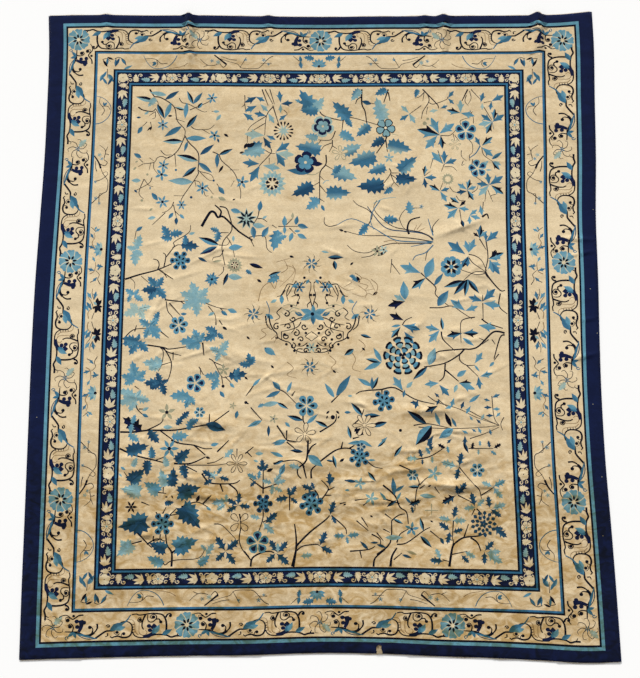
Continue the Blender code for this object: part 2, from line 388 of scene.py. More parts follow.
# %% Leaf outlines: half of each leaf between base and tip, as (share along, share beside)
LEAF_SHAPES = {
    "lance": [(0.1, 0.055), (0.25, 0.115), (0.45, 0.145), (0.65, 0.115), (0.82, 0.06)],
    "tooth": [(0.12, 0.04), (0.28, 0.1), (0.46, 0.16), (0.68, 0.3), (0.63, 0.15), (0.74, 0.12),
              (0.88, 0.07)],
    "cut": [(0.07, 0.06), (0.12, 0.22), (0.24, 0.14), (0.38, 0.36), (0.42, 0.18), (0.6, 0.31),
            (0.62, 0.14), (0.8, 0.17), (0.84, 0.06)],
    "slim": [(0.14, 0.03), (0.24, 0.09), (0.38, 0.27), (0.4, 0.12), (0.54, 0.14), (0.66, 0.29),
             (0.66, 0.12), (0.84, 0.15), (0.85, 0.06)],
    "oak": [(0.05, 0.08), (0.0, 0.2), (0.13, 0.18), (0.17, 0.3), (0.29, 0.19), (0.36, 0.33),
            (0.47, 0.19), (0.6, 0.28), (0.63, 0.13), (0.82, 0.13), (0.84, 0.05)],
    "palm": [(-0.05, 0.11), (-0.14, 0.21), (-0.02, 0.22), (-0.03, 0.35), (0.14, 0.28), (0.22, 0.42),
             (0.32, 0.29), (0.46, 0.38), (0.46, 0.23), (0.6, 0.26), (0.62, 0.14), (0.76, 0.17),
             (0.8, 0.07)],
    "broad": [(0.1, 0.1), (0.25, 0.19), (0.45, 0.23), (0.65, 0.18), (0.82, 0.09)],
    "bud": [(0.15, 0.12), (0.4, 0.24), (0.65, 0.2), (0.85, 0.1)],
    "blade": [(0.25, 0.045), (0.55, 0.055), (0.8, 0.03)],
}
EDGE_SHARE = 0.24        # how far beside the midrib an edge's own dye is reached


PALER = {"d": "m", "m": "b", "b": "t", "t": "p"}
NEAR_BLACK = {"k", "n"}


def leaf(chart, shape, base, tip, dyes):
    """Two halves of a leaf from base to tip, each fading from the midrib to its edge."""
    half = [(0.0, 0.0), *LEAF_SHAPES[shape], (1.0, 0.0)]
    centre = ((base[0] + tip[0]) / 2, (base[1] + tip[1]) / 2)
    left, right = dyes[0], dyes[-1]
    rib_left, rib_right = left, left
    if len(dyes) == 3:
        rib_left = rib_right = dyes[1]
    elif len(dyes) == 1:
        left = PALER.get(left, left)
    elif {left, right} & NEAR_BLACK:
        rib_right = right
    for side, rib_dye, edge_dye in ((1, rib_left, left), (-1, rib_right, right)):
        outline = along_axis(base, tip, [(u, side * v) for u, v in half])
        edge = along_axis(base, tip, [(0.5, side * EDGE_SHARE)])[0]
        chart.add(outline, rib_dye, edge_dye, centre, edge)


def spray(chart, shape, base, tips, dyes):
    """Leaves that fan out from one base, such as a compound leaf."""
    for index in range(0, len(tips), 2):
        leaf(chart, shape, base, (tips[index], tips[index + 1]), dyes)


# %% [markdown]
# ## Flowers
# A flower is rings of petals round a centre, and each ring is one row of a small table: how
# many petals, where they start and end as a share of the flower's radius, how wide they are,
# their form, their dye and how far the ring is turned. A new kind of flower is only a new
# line.

# %% Petals and flowers
PETAL_SHAPES = {
    "round": [(0.0, 0.1), (0.3, 0.36), (0.62, 0.5), (0.86, 0.4), (1.0, 0.0)],
    "drop": [(0.0, 0.04), (0.35, 0.22), (0.7, 0.5), (0.9, 0.38), (1.0, 0.0)],
    "point": [(0.0, 0.12), (0.4, 0.5), (0.7, 0.34), (1.0, 0.0)],
    "hook": [(0.0, 0.2), (0.45, 1.5), (0.75, 2.9), (1.0, 5.0), (0.78, 2.2), (0.45, 0.8)],
}
Ring = namedtuple("Ring", "count inner outer width shape dye turn")
FLOWERS = {}
for (kind,), columns in rows("""
# five or six pointed petals round a dark eye
star: 5 0.1 1 0.42 point b 0, 1 0 0.2 0.2 eye k 0
star6: 6 0.1 1 0.36 point b 0, 1 0 0.2 0.2 eye k 0
# round blue petals, each with a dark eye and a cream vein
eyed: 5 0.15 1 0.76 round b 0, 5 0.26 0.82 0.44 drop n 0, 5 0 0.6 0.13 point w 36
eyed6: 6 0.15 1 0.62 round b 0, 6 0.26 0.7 0.26 drop k 0, 6 0 0.55 0.12 point w 30
# pale scalloped petals round dark ones, with a cream lattice between
rose: 9 0.34 1 0.6 round b 0, 6 0.12 0.74 0.36 point k 0, 6 0 0.7 0.13 point w 30, 1 0 0.2 0.2 eye b 0
# dark-rimmed cherry blossom
cherry: 5 0.12 1 0.84 round k 0, 5 0.2 0.91 0.66 round t 0, 1 0 0.14 0.14 eye w 0
# petals with navy outer halves
dark: 5 0.12 1 0.86 round n 0, 5 0.05 0.68 0.56 round b 0, 1 0 0.13 0.13 eye w 0
# chrysanthemum of dark drops round a pale heart
mum: 8 0 0.62 0.2 point p 11, 15 0.48 1 0.2 drop k 0
# small chrysanthemum whose outer petals are only dark curls
spark: 8 0.3 1.16 0.12 hook k 8, 6 0 0.72 0.34 drop m 0, 1 0 0.14 0.14 eye w 0
# lotus: dark pointed petals edged with pale blue
lotus: 9 0.05 1 0.34 point p 0, 9 0 0.88 0.24 point k 0, 6 0 0.45 0.16 point p 20
# peony of overlapping scales, each dark at its rim and blue inside
peony: 10 0.7 1.02 0.46 round k 0, 10 0.64 0.9 0.34 round b 0, 8 0.42 0.74 0.42 round k 15
  8 0.38 0.64 0.3 round t 15, 5 0.16 0.46 0.36 round k 0, 5 0.12 0.38 0.26 round b 0
  3 0 0.2 0.2 round k 40
# berries or small round blossoms in a bunch
bunch: 6 0.34 1 0.56 round m 0, 6 0.52 0.86 0.26 drop k 0, 5 0 0.62 0.52 round b 30
  5 0.12 0.46 0.22 drop k 30
# many small dark petals with cream between them
daisy: 13 0.66 1 0.3 point d 0, 10 0.34 0.68 0.28 point d 12, 5 0.02 0.36 0.24 point d 0
# aster: two rings of pale points, dark inner petals
aster: 14 0.5 1 0.26 point p 0, 14 0.4 0.8 0.2 point t 13, 7 0.14 0.46 0.26 drop k 10
  6 0 0.22 0.12 point w 0
"""):
    FLOWERS.setdefault(kind, []).append(Ring(*columns))


def petal(centre, turn, inner, outer, width, shape):
    """Outline of one petal that points away from a centre."""
    base, tip = polar(centre, inner, turn), polar(centre, outer, turn)
    share = width / max(outer - inner, 1e-6)
    half = [(u, v * share) for u, v in PETAL_SHAPES[shape]]
    mirrored = [(u, -v) for u, v in reversed(half) if v > 0 and u < 1 and shape != "hook"]
    return along_axis(base, tip, half + mirrored)


def flower(chart, kind, centre, radius, turn=90.0, dyes=""):
    """Rings of petals. Letters in dyes replace the rings' own dyes in turn."""
    for index, ring in enumerate(FLOWERS[kind]):
        dye = dyes[index] if index < len(dyes) and dyes[index] != "." else ring.dye
        if ring.shape == "eye":
            dot(chart, dye, centre, ring.outer * radius)
            continue
        for i in range(int(ring.count)):
            way = turn + ring.turn + 360.0 * i / ring.count
            chart.add(petal(centre, way, ring.inner * radius, ring.outer * radius,
                            ring.width * radius, ring.shape), dye)


def lined(chart, kind, centre, radius, count, turn, dye, width=0.45, fill="c"):
    """Flower drawn only by the outlines of its petals."""
    for i in range(count):
        way = turn + 360.0 * i / count
        wide = 2.3 * radius / count
        chart.add(petal(centre, way, 0.12 * radius, radius, wide, kind), dye)
        chart.add(petal(centre, way, 0.12 * radius + width, radius - width,
                        wide - 2 * width, kind), fill)


# %% A chart's lines, read in the order in which they are drawn
def draw(chart, text):
    """Draw every item of a chart; its line's head says what it is.

    stem dye width: x y x y ...               tapering line through points
    curl dye width: x y radius turn sweep     spiral
    dot dye radius: x y                       spot
    leaf shape: dyes x y tip tip ...          leaves from one base, each to its tip x y
    flower kind: x y radius turn [dyes]       rings of petals
    lined shape dye: x y radius count turn    petals in outline
    """
    for (what, *fixed), item in rows(text):
        if what == "stem":
            stroke(chart, *fixed, list(zip(item[::2], item[1::2])))
        elif what == "curl":
            curl(chart, *fixed, item[:2], *item[2:])
        elif what == "dot":
            dot(chart, fixed[0], item, fixed[1])
        elif what in LEAF_SHAPES:
            spray(chart, what, item[1:3], item[3:], item[0])
        elif what in FLOWERS:
            x, y, radius, turn, *dyes = item
            flower(chart, what, (x, y), radius, turn, "".join(dyes))
        elif what == "lined":
            x, y, radius, count, turn = item
            lined(chart, fixed[0], (x, y), radius, int(count), turn, fixed[1])

# %% [markdown]
# ## The lines between the borders
# From the outside in, the carpet has a plain navy guard, a turquoise line, the wide border of
# scrolling vines, a narrow border of scattered sprigs, a navy border of cream leaves, and
# the field. One table says how far in from each edge a line lies. The outer edge's bow
# is halved on its way in, because the weaver kept the inner lines straighter.

# %% Lines, centimetres in from the left, right, bottom and top edges
Line = namedtuple("Line", "left right bottom top")
LINE = {name: Line(*depths) for (name,), depths in rows("""
edge: 0 0 0 0
lip: 0.35 0.35 0.35 0.35
turquoise: 8.9 8.3 6.6 5.9
turquoise_end: 10.8 10.2 8.5 7.9
vine: 12 11.4 9.7 9.2
vine_end: 29.4 30.3 25.8 25
thin_blue: 30.3 31.3 26.9 25.9
sprig: 31.6 32.6 28.1 27
sprig_end: 42.1 44.2 38.5 37.5
outer_blue: 43.3 45.4 39.5 38.5
outer_blue_end: 44.5 46.5 40.6 39.6
leaf: 45.3 47.3 41.3 40.3
leaf_end: 52 53.5 47.7 46.2
inner_blue: 52.7 54.3 48.5 46.9
inner_blue_end: 53.9 55.6 49.6 48
field: 55 56.8 50.7 49.1
""")}
MEAN_EDGE = {"left": -176.0, "right": 174.3, "bottom": -200.9, "top": 202.2}
BOW_KEPT_AT_FIELD = 0.5
DEEPEST = 55.0


def line_place(side, depth, along):
    """Where a line at a depth in from a side lies, at places along that side, cm."""
    along = np.asarray(along, dtype=float)
    if side in ("left", "right"):
        edge = read_table(SIDES, along / 100 - SHIFT_Y, side) * 100 + SHIFT_X * 100
    else:
        edge = read_table(ENDS, along / 100 - SHIFT_X, side) * 100 + SHIFT_Y * 100
    mean = MEAN_EDGE[side]
    kept = 1.0 - (1.0 - BOW_KEPT_AT_FIELD) * np.minimum(depth / DEEPEST, 1.0)
    inward = depth if side in ("left", "bottom") else -depth
    return mean + (edge - mean) * kept + inward


def corner_of(line, side, end):
    """Corner where a line's run along a side meets its run along an end."""
    x, y = MEAN_EDGE[side], MEAN_EDGE[end]
    for _ in range(4):
        x = float(line_place(side, getattr(line, side), y))
        y = float(line_place(end, getattr(line, end), x))
    return x, y


def ring(name, step=4.0):
    """Closed run of points along a line, anticlockwise from the near left corner."""
    line = LINE[name]
    corners = [corner_of(line, *pair) for pair in
               (("left", "bottom"), ("right", "bottom"), ("right", "top"), ("left", "top"))]
    points = []
    for i, side in enumerate(("bottom", "right", "top", "left")):
        (x0, y0), (x1, y1) = corners[i], corners[(i + 1) % 4]
        count = int(max(abs(x1 - x0), abs(y1 - y0)) / step)
        for t in np.arange(count) / count:
            x, y = x0 + (x1 - x0) * t, y0 + (y1 - y0) * t
            if side in ("bottom", "top"):
                y = float(line_place(side, getattr(line, side), x))
            else:
                x = float(line_place(side, getattr(line, side), y))
            points.append((x, y))
    return points


for name in ("edge", "vine", "sprig", "leaf", "field"):
    xs, ys = zip(*ring(name))
    print(f"{name}: {max(xs) - min(xs):.0f} x {max(ys) - min(ys):.0f} cm")

# %% [markdown]
# ## The field's sprays
# Flowering branches are strewn over the cream field, each leaf drawn a little differently.
# They are charted like a weaver's cartoon: the stems' points, the base and tips of the
# leaves, and each flower's place and radius, in centimetres from the carpet's middle.

# %% Far left: a willow-leaved branch with star flowers
field = Chart()
draw(field, """
stem k 1.2: -109 151 -106 146
stem s 0.8: -106 146 -101 145 -93 139 -91 130 -86 124 -86 119
  -86 120 -83 115 -77 108 -77 97 -77 94 -82 86 -87 78 -87 74
stem s 0.7: -86 119 -90 110 -96 105 -100 106 -103 105 -105 102 -112 101
  -68 109 -64 107 -62 103 -54 95 -50 84 -50 78
stem s 0.5: -107 145 -104 143 -103 140, -105 138 -101 131 -101 128, -105 136 -109 133
  -105 136 -105 132 -107 131, -92 131 -86 129, -75 124 -70 121, -105 102 -105 98 -102 94
  -95 106 -98 104 -99 101, -112 101 -115 99, -112 102 -115 105, -111 91 -108 87 -105 86
  -77 97 -71 91 -68 90, -76 96 -69 94 -67 91, -79 90 -78 86, -79 90 -76 89 -75 86, -71 86 -67 81
  -73 83 -72 80 -70 80, -110 129 -113 126, -108 129 -107 125, -65 88 -63 85
stem k 0.9: -116 139 -113 137 -107 136 -105 138
stem s 0.6: -90 145 -88 142 -84 141 -75 136 -72 136, -83 137 -72 142 -70 144
  -82 126 -79 124 -71 124 -67 127, -92 108 -91 99, -101 110 -98 107 -94 107, -111 91 -114 82 -111 78
  -106 92 -108 88 -117 83
stem s 0.4: -69 136 -65 136, -108 105 -105 103, -107 102 -108 97, -92 80 -85 80, -57 97 -51 97
  -54 90 -56 86
lance: tk -106 143 -118 146, t -98 147 -109 149, dm -99 144 -90 150, bk -81 141 -85 150, m -81 141 -75 149
  km -104 141 -99 131, bt -95 142 -99 131, kt -86 137 -93 139, bt -85 142 -86 131, km -85 125 -78 134
  m -88 126 -99 119, tk -87 116 -100 116, bm -85 118 -72 118, mb -84 116 -86 109, dm -76 107 -67 114
  tk -77 103 -91 107, mt -77 102 -68 95, km -78 99 -87 92, tm -80 89 -96 90, k -107 126 -110 123 -108 123
  mb -65 108 -65 98, km -64 107 -55 111, k -61 100 -64 95
oak: t -105 145 -110 139
bud: kb -78 138 -75 142, m -113 126 -116 121, t -66 130 -63 134, k -61 121 -58 119, d -65 118 -64 115
  m -113 105 -118 108, t -113 90 -119 90, m -102 77 -106 82, m -64 86 -60 81, g -64 79 -59 77
  k -55 77 -53 78, t -68 136 -64 136, d -117 84 -115 82, m -107 86 -107 84, k -97 133 -94 133
  t -112 134 -109 136, d -117 132 -114 132, g -117 102 -115 103, g -118 97 -116 99
star6: -69 145 4 10, -100 127 4 30, -99 100 4 20, -74 85 4.5 30, -99 76 4.5 10
star: -67 120 4 60, -100 94 4.5 60, -49 89 4.5 80
dot m 0.8: -91 97
dot d 0.9: -81 79
dot d 0.8: -67 90
dot g 0.8: -68 79, -109 94
dot g 0.9: -112 77
""")

# %% Far middle: chrysanthemums, then broad cut leaves with dark blossoms
draw(field, """
stem s 0.6: -48 147 -48 141 -50 139, -48 141 -47 135, -34 133 -43 127 -46 123, -35 128 -46 121
  -36 111 -31 108 -28 108, 8 113 11 111, 0 89 -5 86, 0 78 3 76
stem s 0.8: -37 151 -33 140, -30 140 -26 127, 0 136 3 133 14 130 18 132 24 131 37 127
stem s 0.7: -35 151 -30 141, -32 151 -29 141, -30 139 -34 133 -35 120, -31 111 -31 108 -38 100 -38 98
stem s 0.5: -23 137 -21 135 -21 133, -46 120 -46 115, -32 105 -32 101, 1 117 -2 113, 0 93 3 90
stem k 1.1: 27 151 27 141 29 136 30 128
stem k 0.7: 15 130 14 122, 10 123 7 117 -1 117, 8 117 8 113 6 109
stem k 0.6: 8 115 3 113 1 110, 4 100 9 97, 0 87 4 82
stem k 0.9: 4 107 4 101 1 97 0 93 0 80 0 75
stem t 0.6: 2 88 4 90 6 90
stem g 0.6: -8 94 -3 94 0 96
stem k 0.8: 27 146 24 144 23 141
tooth: dm -40 146 -48 142, m -41 146 -35 143, m -40 140 -48 136, t -38 141 -33 136, md -34 133 -42 135
  m -49 135 -42 130, t -33 135 -29 128, m -25 142 -26 150, d -25 141 -17 142, t -25 141 -25 135
  m -21 134 -26 130, p -35 120 -48 121, mt -34 120 -28 117, d -36 119 -31 111, m -28 109 -19 115 -22 99
  p -28 108 -16 107, mb -38 101 -49 102, m -38 100 -44 89, t -36 100 -25 98, b -11 142 -16 144
palm: tm -37 112 -50 107
bud: k -46 112 -41 115 -45 115, k -48 111 -46 115, k -51 108 -48 109, n -5 101 2 101
oak: mb -3 135 -13 151, tp -4 136 3 146, mb -1 136 -13 137, m 19 131 8 143, tm 26 151 20 143
  tb -1 118 -10 120, mt 1 110 -16 113, dm -4 87 -18 80, tm 8 97 24 91, m 9 95 14 101, mt 4 82 20 82
  bt 13 122 23 116, m 17 131 21 125, tm 15 108 27 114, mt 32 127 23 119, mt 36 106 18 101, mt 42 99 30 95
  dm 41 87 23 86, b 0 76 -7 79
lance: md -6 95 -21 97
mum: -23 123 6.5 10
aster: -30 88 9 0
dark: 2 126 7.5 50 ppt, 2 126 6 50 ntw, -9 102 7.5 10
lined round g: 13 108 5.5 5 20
cherry: 42 125 6.5 60
""")

# %% Far right: more cut leaves, then small-leaved sprays with round blossoms
draw(field, """
stem k 1: 44 151 41 142, 42 120 42 117 36 108, 95 151 91 143
stem k 0.9: 44 149 45 143, 42 117 43 109
stem s 0.6: 31 142 36 141, 45 95 50 95, 45 94 47 89 50 86, 45 94 49 91, 67 149 64 146 61 145
  70 142 73 141 81 144 82 146, 65 140 57 134, 97 151 103 144, 94 147 93 143 95 140, 105 139 110 130
  77 120 83 120 87 124, 103 112 104 107 109 103, 97 104 96 96 98 93 105 88, 79 101 77 96
stem k 0.7: 44 98 45 95 41 89 38 87
stem s 0.5: 47 89 45 86, 69 139 68 134, 67 149 66 143, 105 142 110 143, 96 150 97 145 95 141, 69 126 72 123
  90 127 90 130 96 132, 98 128 98 132 96 137, 95 134 98 136, 95 117 97 114 97 109 95 107, 85 121 86 116
  86 120 89 116, 95 107 95 103, 105 83 104 76, 106 84 109 76, 111 81 108 80 108 78, 75 110 78 101
  79 99 84 99 87 96, 72 105 70 98, 90 110 90 106 93 103, 91 103 90 100 92 101, 66 93 70 96, 76 84 78 89
  82 86 84 83 87 82, 96 82 99 84 100 87, 86 80 88 77 91 77
stem g 0.5: 46 121 50 120
stem t 0.5: 34 75 40 78 48 79
stem s 0.9: 66 151 75 141 76 138
stem s 0.7: 69 148 70 143 66 136 65 131
stem m 0.5: 110 129 111 124
stem m 0.9: 102 113 99 108 95 105
curl k 0.5: 73 116 1.2 180 180
oak: tp 41 130 36 146, m 43 151 35 147, dm 41 118 32 112, mp 43 114 59 110, mt 50 96 62 106, dm 48 91 62 91
  m 46 85 40 81, m 63 151 61 145
bud: d 33 141 27 143
tooth: m 82 145 86 150 86 141, m 77 138 82 140, p 76 137 70 136, t 57 135 52 140 61 128, mb 57 134 51 130
  t 90 135 90 144, bk 90 135 81 137, bt 90 135 99 133, m 103 142 105 149, p 104 142 104 137
  m 110 143 118 147 109 137, bk 111 130 112 138, m 110 129 118 134 103 134, t 110 129 101 127
  kb 110 129 106 121, bk 77 120 62 124, b 76 121 71 132 86 128, bt 75 120 67 111, km 77 120 78 111
  m 102 113 99 119, kb 103 113 110 119, bm 103 112 110 106, bk 109 103 114 97, t 110 103 115 100
  t 102 99 107 103, m 107 87 106 95 116 93 99 88, t 107 87 100 80, kb 108 87 116 81, bt 78 101 71 109
  m 79 101 79 110 87 104, kb 66 93 67 100, m 66 92 74 92, dm 66 92 67 85, bk 76 83 69 87, m 76 83 82 85
  bt 76 83 80 76, b 93 84 87 88 99 86, bk 93 84 95 91 97 77, d 93 83 86 82, kb 88 75 82 79
lance: m 109 104 116 109, tt 105 97 109 97
star: 44 105 3.5 90 tt
eyed: 93 123 7 90, 100 98 6 100
lined drop g: 86 114 4 6 0
aster: 81 91 4 0 ggcc
dot g 1.4: 67 128
dot g 1.0: 69 131
""")

# %% [markdown]
# The second band holds the medallion. Its frets are the same on both sides of an upright
# axis, so only one half is charted, and a helper lays down each outline and its mirror image.

# %% Second band of the field, left: maples on a thorny bough, and an old trunk with a lotus
draw(field, """
stem s 0.6: -92 76 -93 73 -96 70 -99 69, -92 74 -90 66, -91 70 -88 67, -97 69 -105 61, -71 11 -63 8 -57 7
  -69 9 -65 4 -64 0, -62 8 -59 5, -62 56 -57 56, -63 48 -58 48 -56 51, -60 34 -60 31 -63 28
  -58 53 -55 48 -53 40, -60 45 -62 41 -66 40 -67 38
stem s 0.5: -115 57 -116 50, -118 27 -115 24 -115 20, -111 28 -104 22
stem k 1.2: -121 26 -112 29 -101 32 -92 36
stem k 0.8: -101 32 -100 35 -101 38 -104 39, -97 34 -96 41 -98 43, -100 32 -91 26
stem k 0.7: -97 30 -95 27
stem s 0.7: -96 40 -91 47 -91 50 -82 56 -81 61, -92 46 -89 48 -86 48, -95 12 -94 6 -91 2 -90 -2
  -93 11 -86 3, -86 12 -83 10 -79 11
stem k 0.9: -96 13 -86 12 -78 13
stem k 1.8: -74 60 -69 69 -66 69 -64 66 -60 66 -51 57 -42 51
stem k 1.4: -63 66 -62 70 -66 74
stem s 0.9: -63 73 -59 72 -57 68 -55 58 -60 51 -61 45 -59 35
bud: t -103 66 -108 65, g -107 70 -105 72, m -92 69 -95 65, d -90 66 -90 61, b -88 68 -85 65
  m -115 57 -111 60, t -82 55 -78 56, t -65 5 -69 3, m -61 6 -57 3, b -57 7 -51 5, m -86 4 -82 4
cut: t -115 45 -112 55 -121 47 -115 34 -110 41, m -94 53 -99 61, m -94 55 -85 56, m -92 52 -100 53
  dm -87 48 -75 47, m -84 48 -84 55, m -101 21 -107 28 -97 28 -106 12 -95 13, dm -101 20 -111 19
  b -115 16 -121 20 -112 20 -109 12, b -117 16 -119 11, p -112 7 -118 11 -122 3 -104 9 -108 0
  m -102 0 -99 6, t -76 13 -80 25 -69 21 -87 18 -86 7 -76 2 -67 12, mt -63 57 -69 59 -65 49
lance: bk -63 48 -76 53, nm -64 47 -75 42, d -76 40 -70 37, dk -57 30 -60 22, g -61 38 -67 37
broad: bt -57 46 -48 47, bt -56 71 -49 69, t -57 28 -48 27, t -54 54 -54 50
star6: -87 74 3.5 0, -67 26 5 15 m, -67 26 4 45 b
bunch: -87 38 6.5 0
aster: -53 35 5 0 ggsg
lotus: -46 65 7 10
""")

# %% Second band, middle: a thinly drawn spray, small chrysanthemums, the hanging frets
draw(field, """
stem k 0.7: -38 71 -39 66 -42 61, -39 65 -36 65 -33 63, -44 53 -41 47
stem s 0.7: -44 53 -38 54 -34 53 -33 46 -30 43
stem s 0.6: -30 61 -27 59, -26 60 -20 60 -10 60, -21 61 -17 65, -19 59 -15 55
stem o 0.4: -27 37 -17 40, -21 35 -16 33 -17 29 -25 21, -17 35 -15 31 -17 24, 26 27 31 25 35 17
  20 24 15 21, 24 22 29 18 27 15 20 17, 12 22 17 19 22 20
broad: m -38 70 -37 77, t -42 61 -34 60, mt -42 60 -41 52, mt -36 53 -32 60, t -36 65 -33 67
  bt -22 60 -22 67 -22 55, m -15 61 -14 67, mt -14 61 -7 59, bt -14 55 -8 52, bt -17 56 -19 50
cut: bm -26 58 -29 44, b -27 52 -20 54, b 0 77 -9 71, bm -25 28 -33 24, mb 22 28 18 28, m 20 28 24 24
  m -46 32 -42 29
bud: g -17 65 -17 69, b -16 57 -12 57, m 1 74 3 70, mk 9 38 10 32, k -19 41 -16 40, k 19 35 21 37
  k -39 26 -36 24, k 33 16 36 18, k 23 28 25 24
lance: mk 5 40 15 40, kb -32 28 -24 31, nk -44 36 -35 33, t 1 44 6 43
spark: -5 36 5 0, -41 4 5 20, 31 4 5 50, -6 -29 5 0
""")

# %% Fret-like scrolls of the medallion: one half, and its mirror image
MEDALLION_X = -4.5
medallion_half = """
stem k 0.7: 0 8 1 12 2 16 1 20 1 24, 1 24 4 25 6 23 8 24 10 22, 10 25 12 22 14 18 16 15, 14 22 16 17 15 12
  10 21 11 17 8 15 9 12 10 9, 10 16 13 15, 1 12 3 10 3 8, 10 22 15 23 17 20 20 15, 17 19 19 16 22 15
dot k 0.9: 1 16, 5 27, 9 16, 9 11, 8 21, 13 9, 12 -12, 17 -9, 8 -15, 22 -11, 16 -15, 11 -19, 3 -16, 4 -8
bud: b 19 16 19 10, b 2 26 4 23, b 24 1 29 4, m 6 3 11 5, b 9 23 13 21, t 22 13 26 11
star6: 8 21 4 0 m
stem g 0.6: 8 7 12 8 15 6 19 8, 8 4 12 6 16 3 19 5, 10 9 14 10 18 9
curl k 0.7: 16 4 2.2 90 330, 12 1 2 0 -320, 22 -4 2.4 120 -330, 10 -8 2.4 90 340, 5 -4 2.2 200 330
  16 -10 2.2 60 -340, 7 -12 2 0 330, 12 -16 2 90 330, 4 -19 1.8 180 -330, 15 -4 2.2 0 300
stem k 0.9: 27 3 26 -2 24 -6 22 -8 21 -11 17 -13 14 -14 11 -18 7 -20 1 -20, 29 3 28 -3 25 -6
stem k 0.7: 5 2 9 1 12 -1 15 -2 20 -3, 7 -1 9 -4 14 -6 19 -7, 19 8 22 5 20 2 23 0, 12 -1 11 -5 13 -8
  3 -14 6 -16 10 -16, 19 -7 19 -12, 6 -18 9 -18 10 -21
"""


def mirrored(text, axis):
    """A chart's patches and their mirror image about an upright axis."""
    half = Chart()
    draw(half, text)
    for patch in half.patches:
        for way in (1, -1):
            outline = [(axis + way * x, y) for x, y in patch.outline]
            field.add(outline, patch.start_dye)


mirrored(medallion_half, MEDALLION_X)
draw(field, """
stem m 0.6: -33 12 -31 6 -33 0, 23 12 20 6 24 1
stem o 0.5: -38 12 -36 20 -31 24 -28 20 -26 25 -22 24, -37 -12 -33 -9 -36 -6 -31 -4 -34 -1
  -30 -12 -26 -9 -28 -14, 22 30 26 27 24 24 30 22 28 19 34 20, 18 -18 22 -24 20 -30 25 -32
  -20 -26 -16 -30 -20 -34 -14 -36, 32 26 36 22 34 16 30 17 28 14, -24 30 -20 33 -22 38
  6 -22 10 -26 7 -30 12 -33, 24 -12 28 -16 25 -20
broad: b -4 4 -12 7 4 7 -12 0 3 0 -4 10, m -4 4 -4 -3
dot k 1.2: -4.5 4
""")

# %% Second band, right: orchid grass, peonies' sprays and three-lobed leaves
draw(field, """
stem d 1.0: 71 51 68 54 62 56 52 57 44 58 38 62 30 73
stem s 0.7: 71 52 64 56 54 58 46 60 38 66 34 72 36 77, 71 50 60 52 50 53 40 54 30 54 23 55 16 57
  70 49 58 49 46 49 38 47 30 43 22 44 17 48, 70 47 67 43 66 38, 71 56 71 60 75 65
  30 60 33 67 30 71 24 74 21 77, 36 44 32 41 26 40, 11 61 6 60 3 62 3 66, 93 42 97 41 101 38 104 31
  93 40 96 36 103 31, 104 30 100 31 95 30 88 24, 104 30 97 29 86 33, 101 11 101 0, 101 12 101 16
stem m 0.8: 71 50 60 50 48 51 40 55 32 60 20 65 11 61, 71 48 66 43 60 41 58 38, 71 54 68 65
stem m 0.7: 71 50 62 48 57 47, 38 77 33 69 32 63 34 58
stem k 1.4: 56 55 55 59 57 64 63 66
stem s 0.5: 50 65 52 60 56 56, 50 65 52 69 56 73, 56 72 65 72
stem o 0.5: 59 57 61 61, 61 58 64 62, 62 57 66 59, 40 50 46 51 50 48
stem s 0.6: 88 71 89 62, 103 76 102 66, 45 39 44 30, 45 36 50 29
stem k 1.3: 102 66 105 68 106 65
stem s 0.8: 100 52 104 45, 104 51 105 40 103 30 106 26, 68 8 75 8 82 9 88 5 94 1
stem k 1.1: 103 31 106 26 112 19 115 19
stem k 0.9: 112 17 111 9 116 4
stem s 0.9: 66 27 72 21 72 16 80 9, 63 30 66 27
cut: m 30 60 24 54, m 26 58 31 62, m 40 65 50 64, bt 57 68 56 77
bud: k 15 57 12 58 17 56, dk 89 64 90 59
lance: k 33 45 38 46, k 36 41 42 44, bk 90 25 77 21, mk 92 26 83 16 99 17, bk 92 26 90 15, mb 71 22 77 30
tooth: bk 87 72 78 74, b 87 72 80 65 94 71, k 88 73 92 77, b 94 67 99 71 94 61 101 65, b 101 74 102 67
  k 100 53 96 56, mk 100 52 101 61, b 100 53 105 57, m 104 50 112 57 104 56, kb 105 39 115 43
  b 106 39 113 40 108 30, k 107 40 110 45, m 107 37 112 29, b 107 37 113 35, b 93 43 91 51 97 52
  m 91 42 80 50, km 93 41 88 33, m 93 40 92 34, bk 66 27 57 20, b 63 30 50 35, nk 53 12 42 9, t 53 12 46 16
  b 90 6 81 13 98 9, m 101 12 92 15 109 20, b 101 11 112 9, nk 52 0 43 4
broad: bt 66 27 71 40, bt 53 13 52 25, mt 73 9 80 19
star: 64 73 1.6 0, 36 44 4 20 gs, 40 45 3 50 pk
rose: 82 34 7 0
""")

# %% [markdown]
# Below the medallion the branches hang in from both sides: thorny twigs of maple on the
# left, a peony on an arching stem on the right.

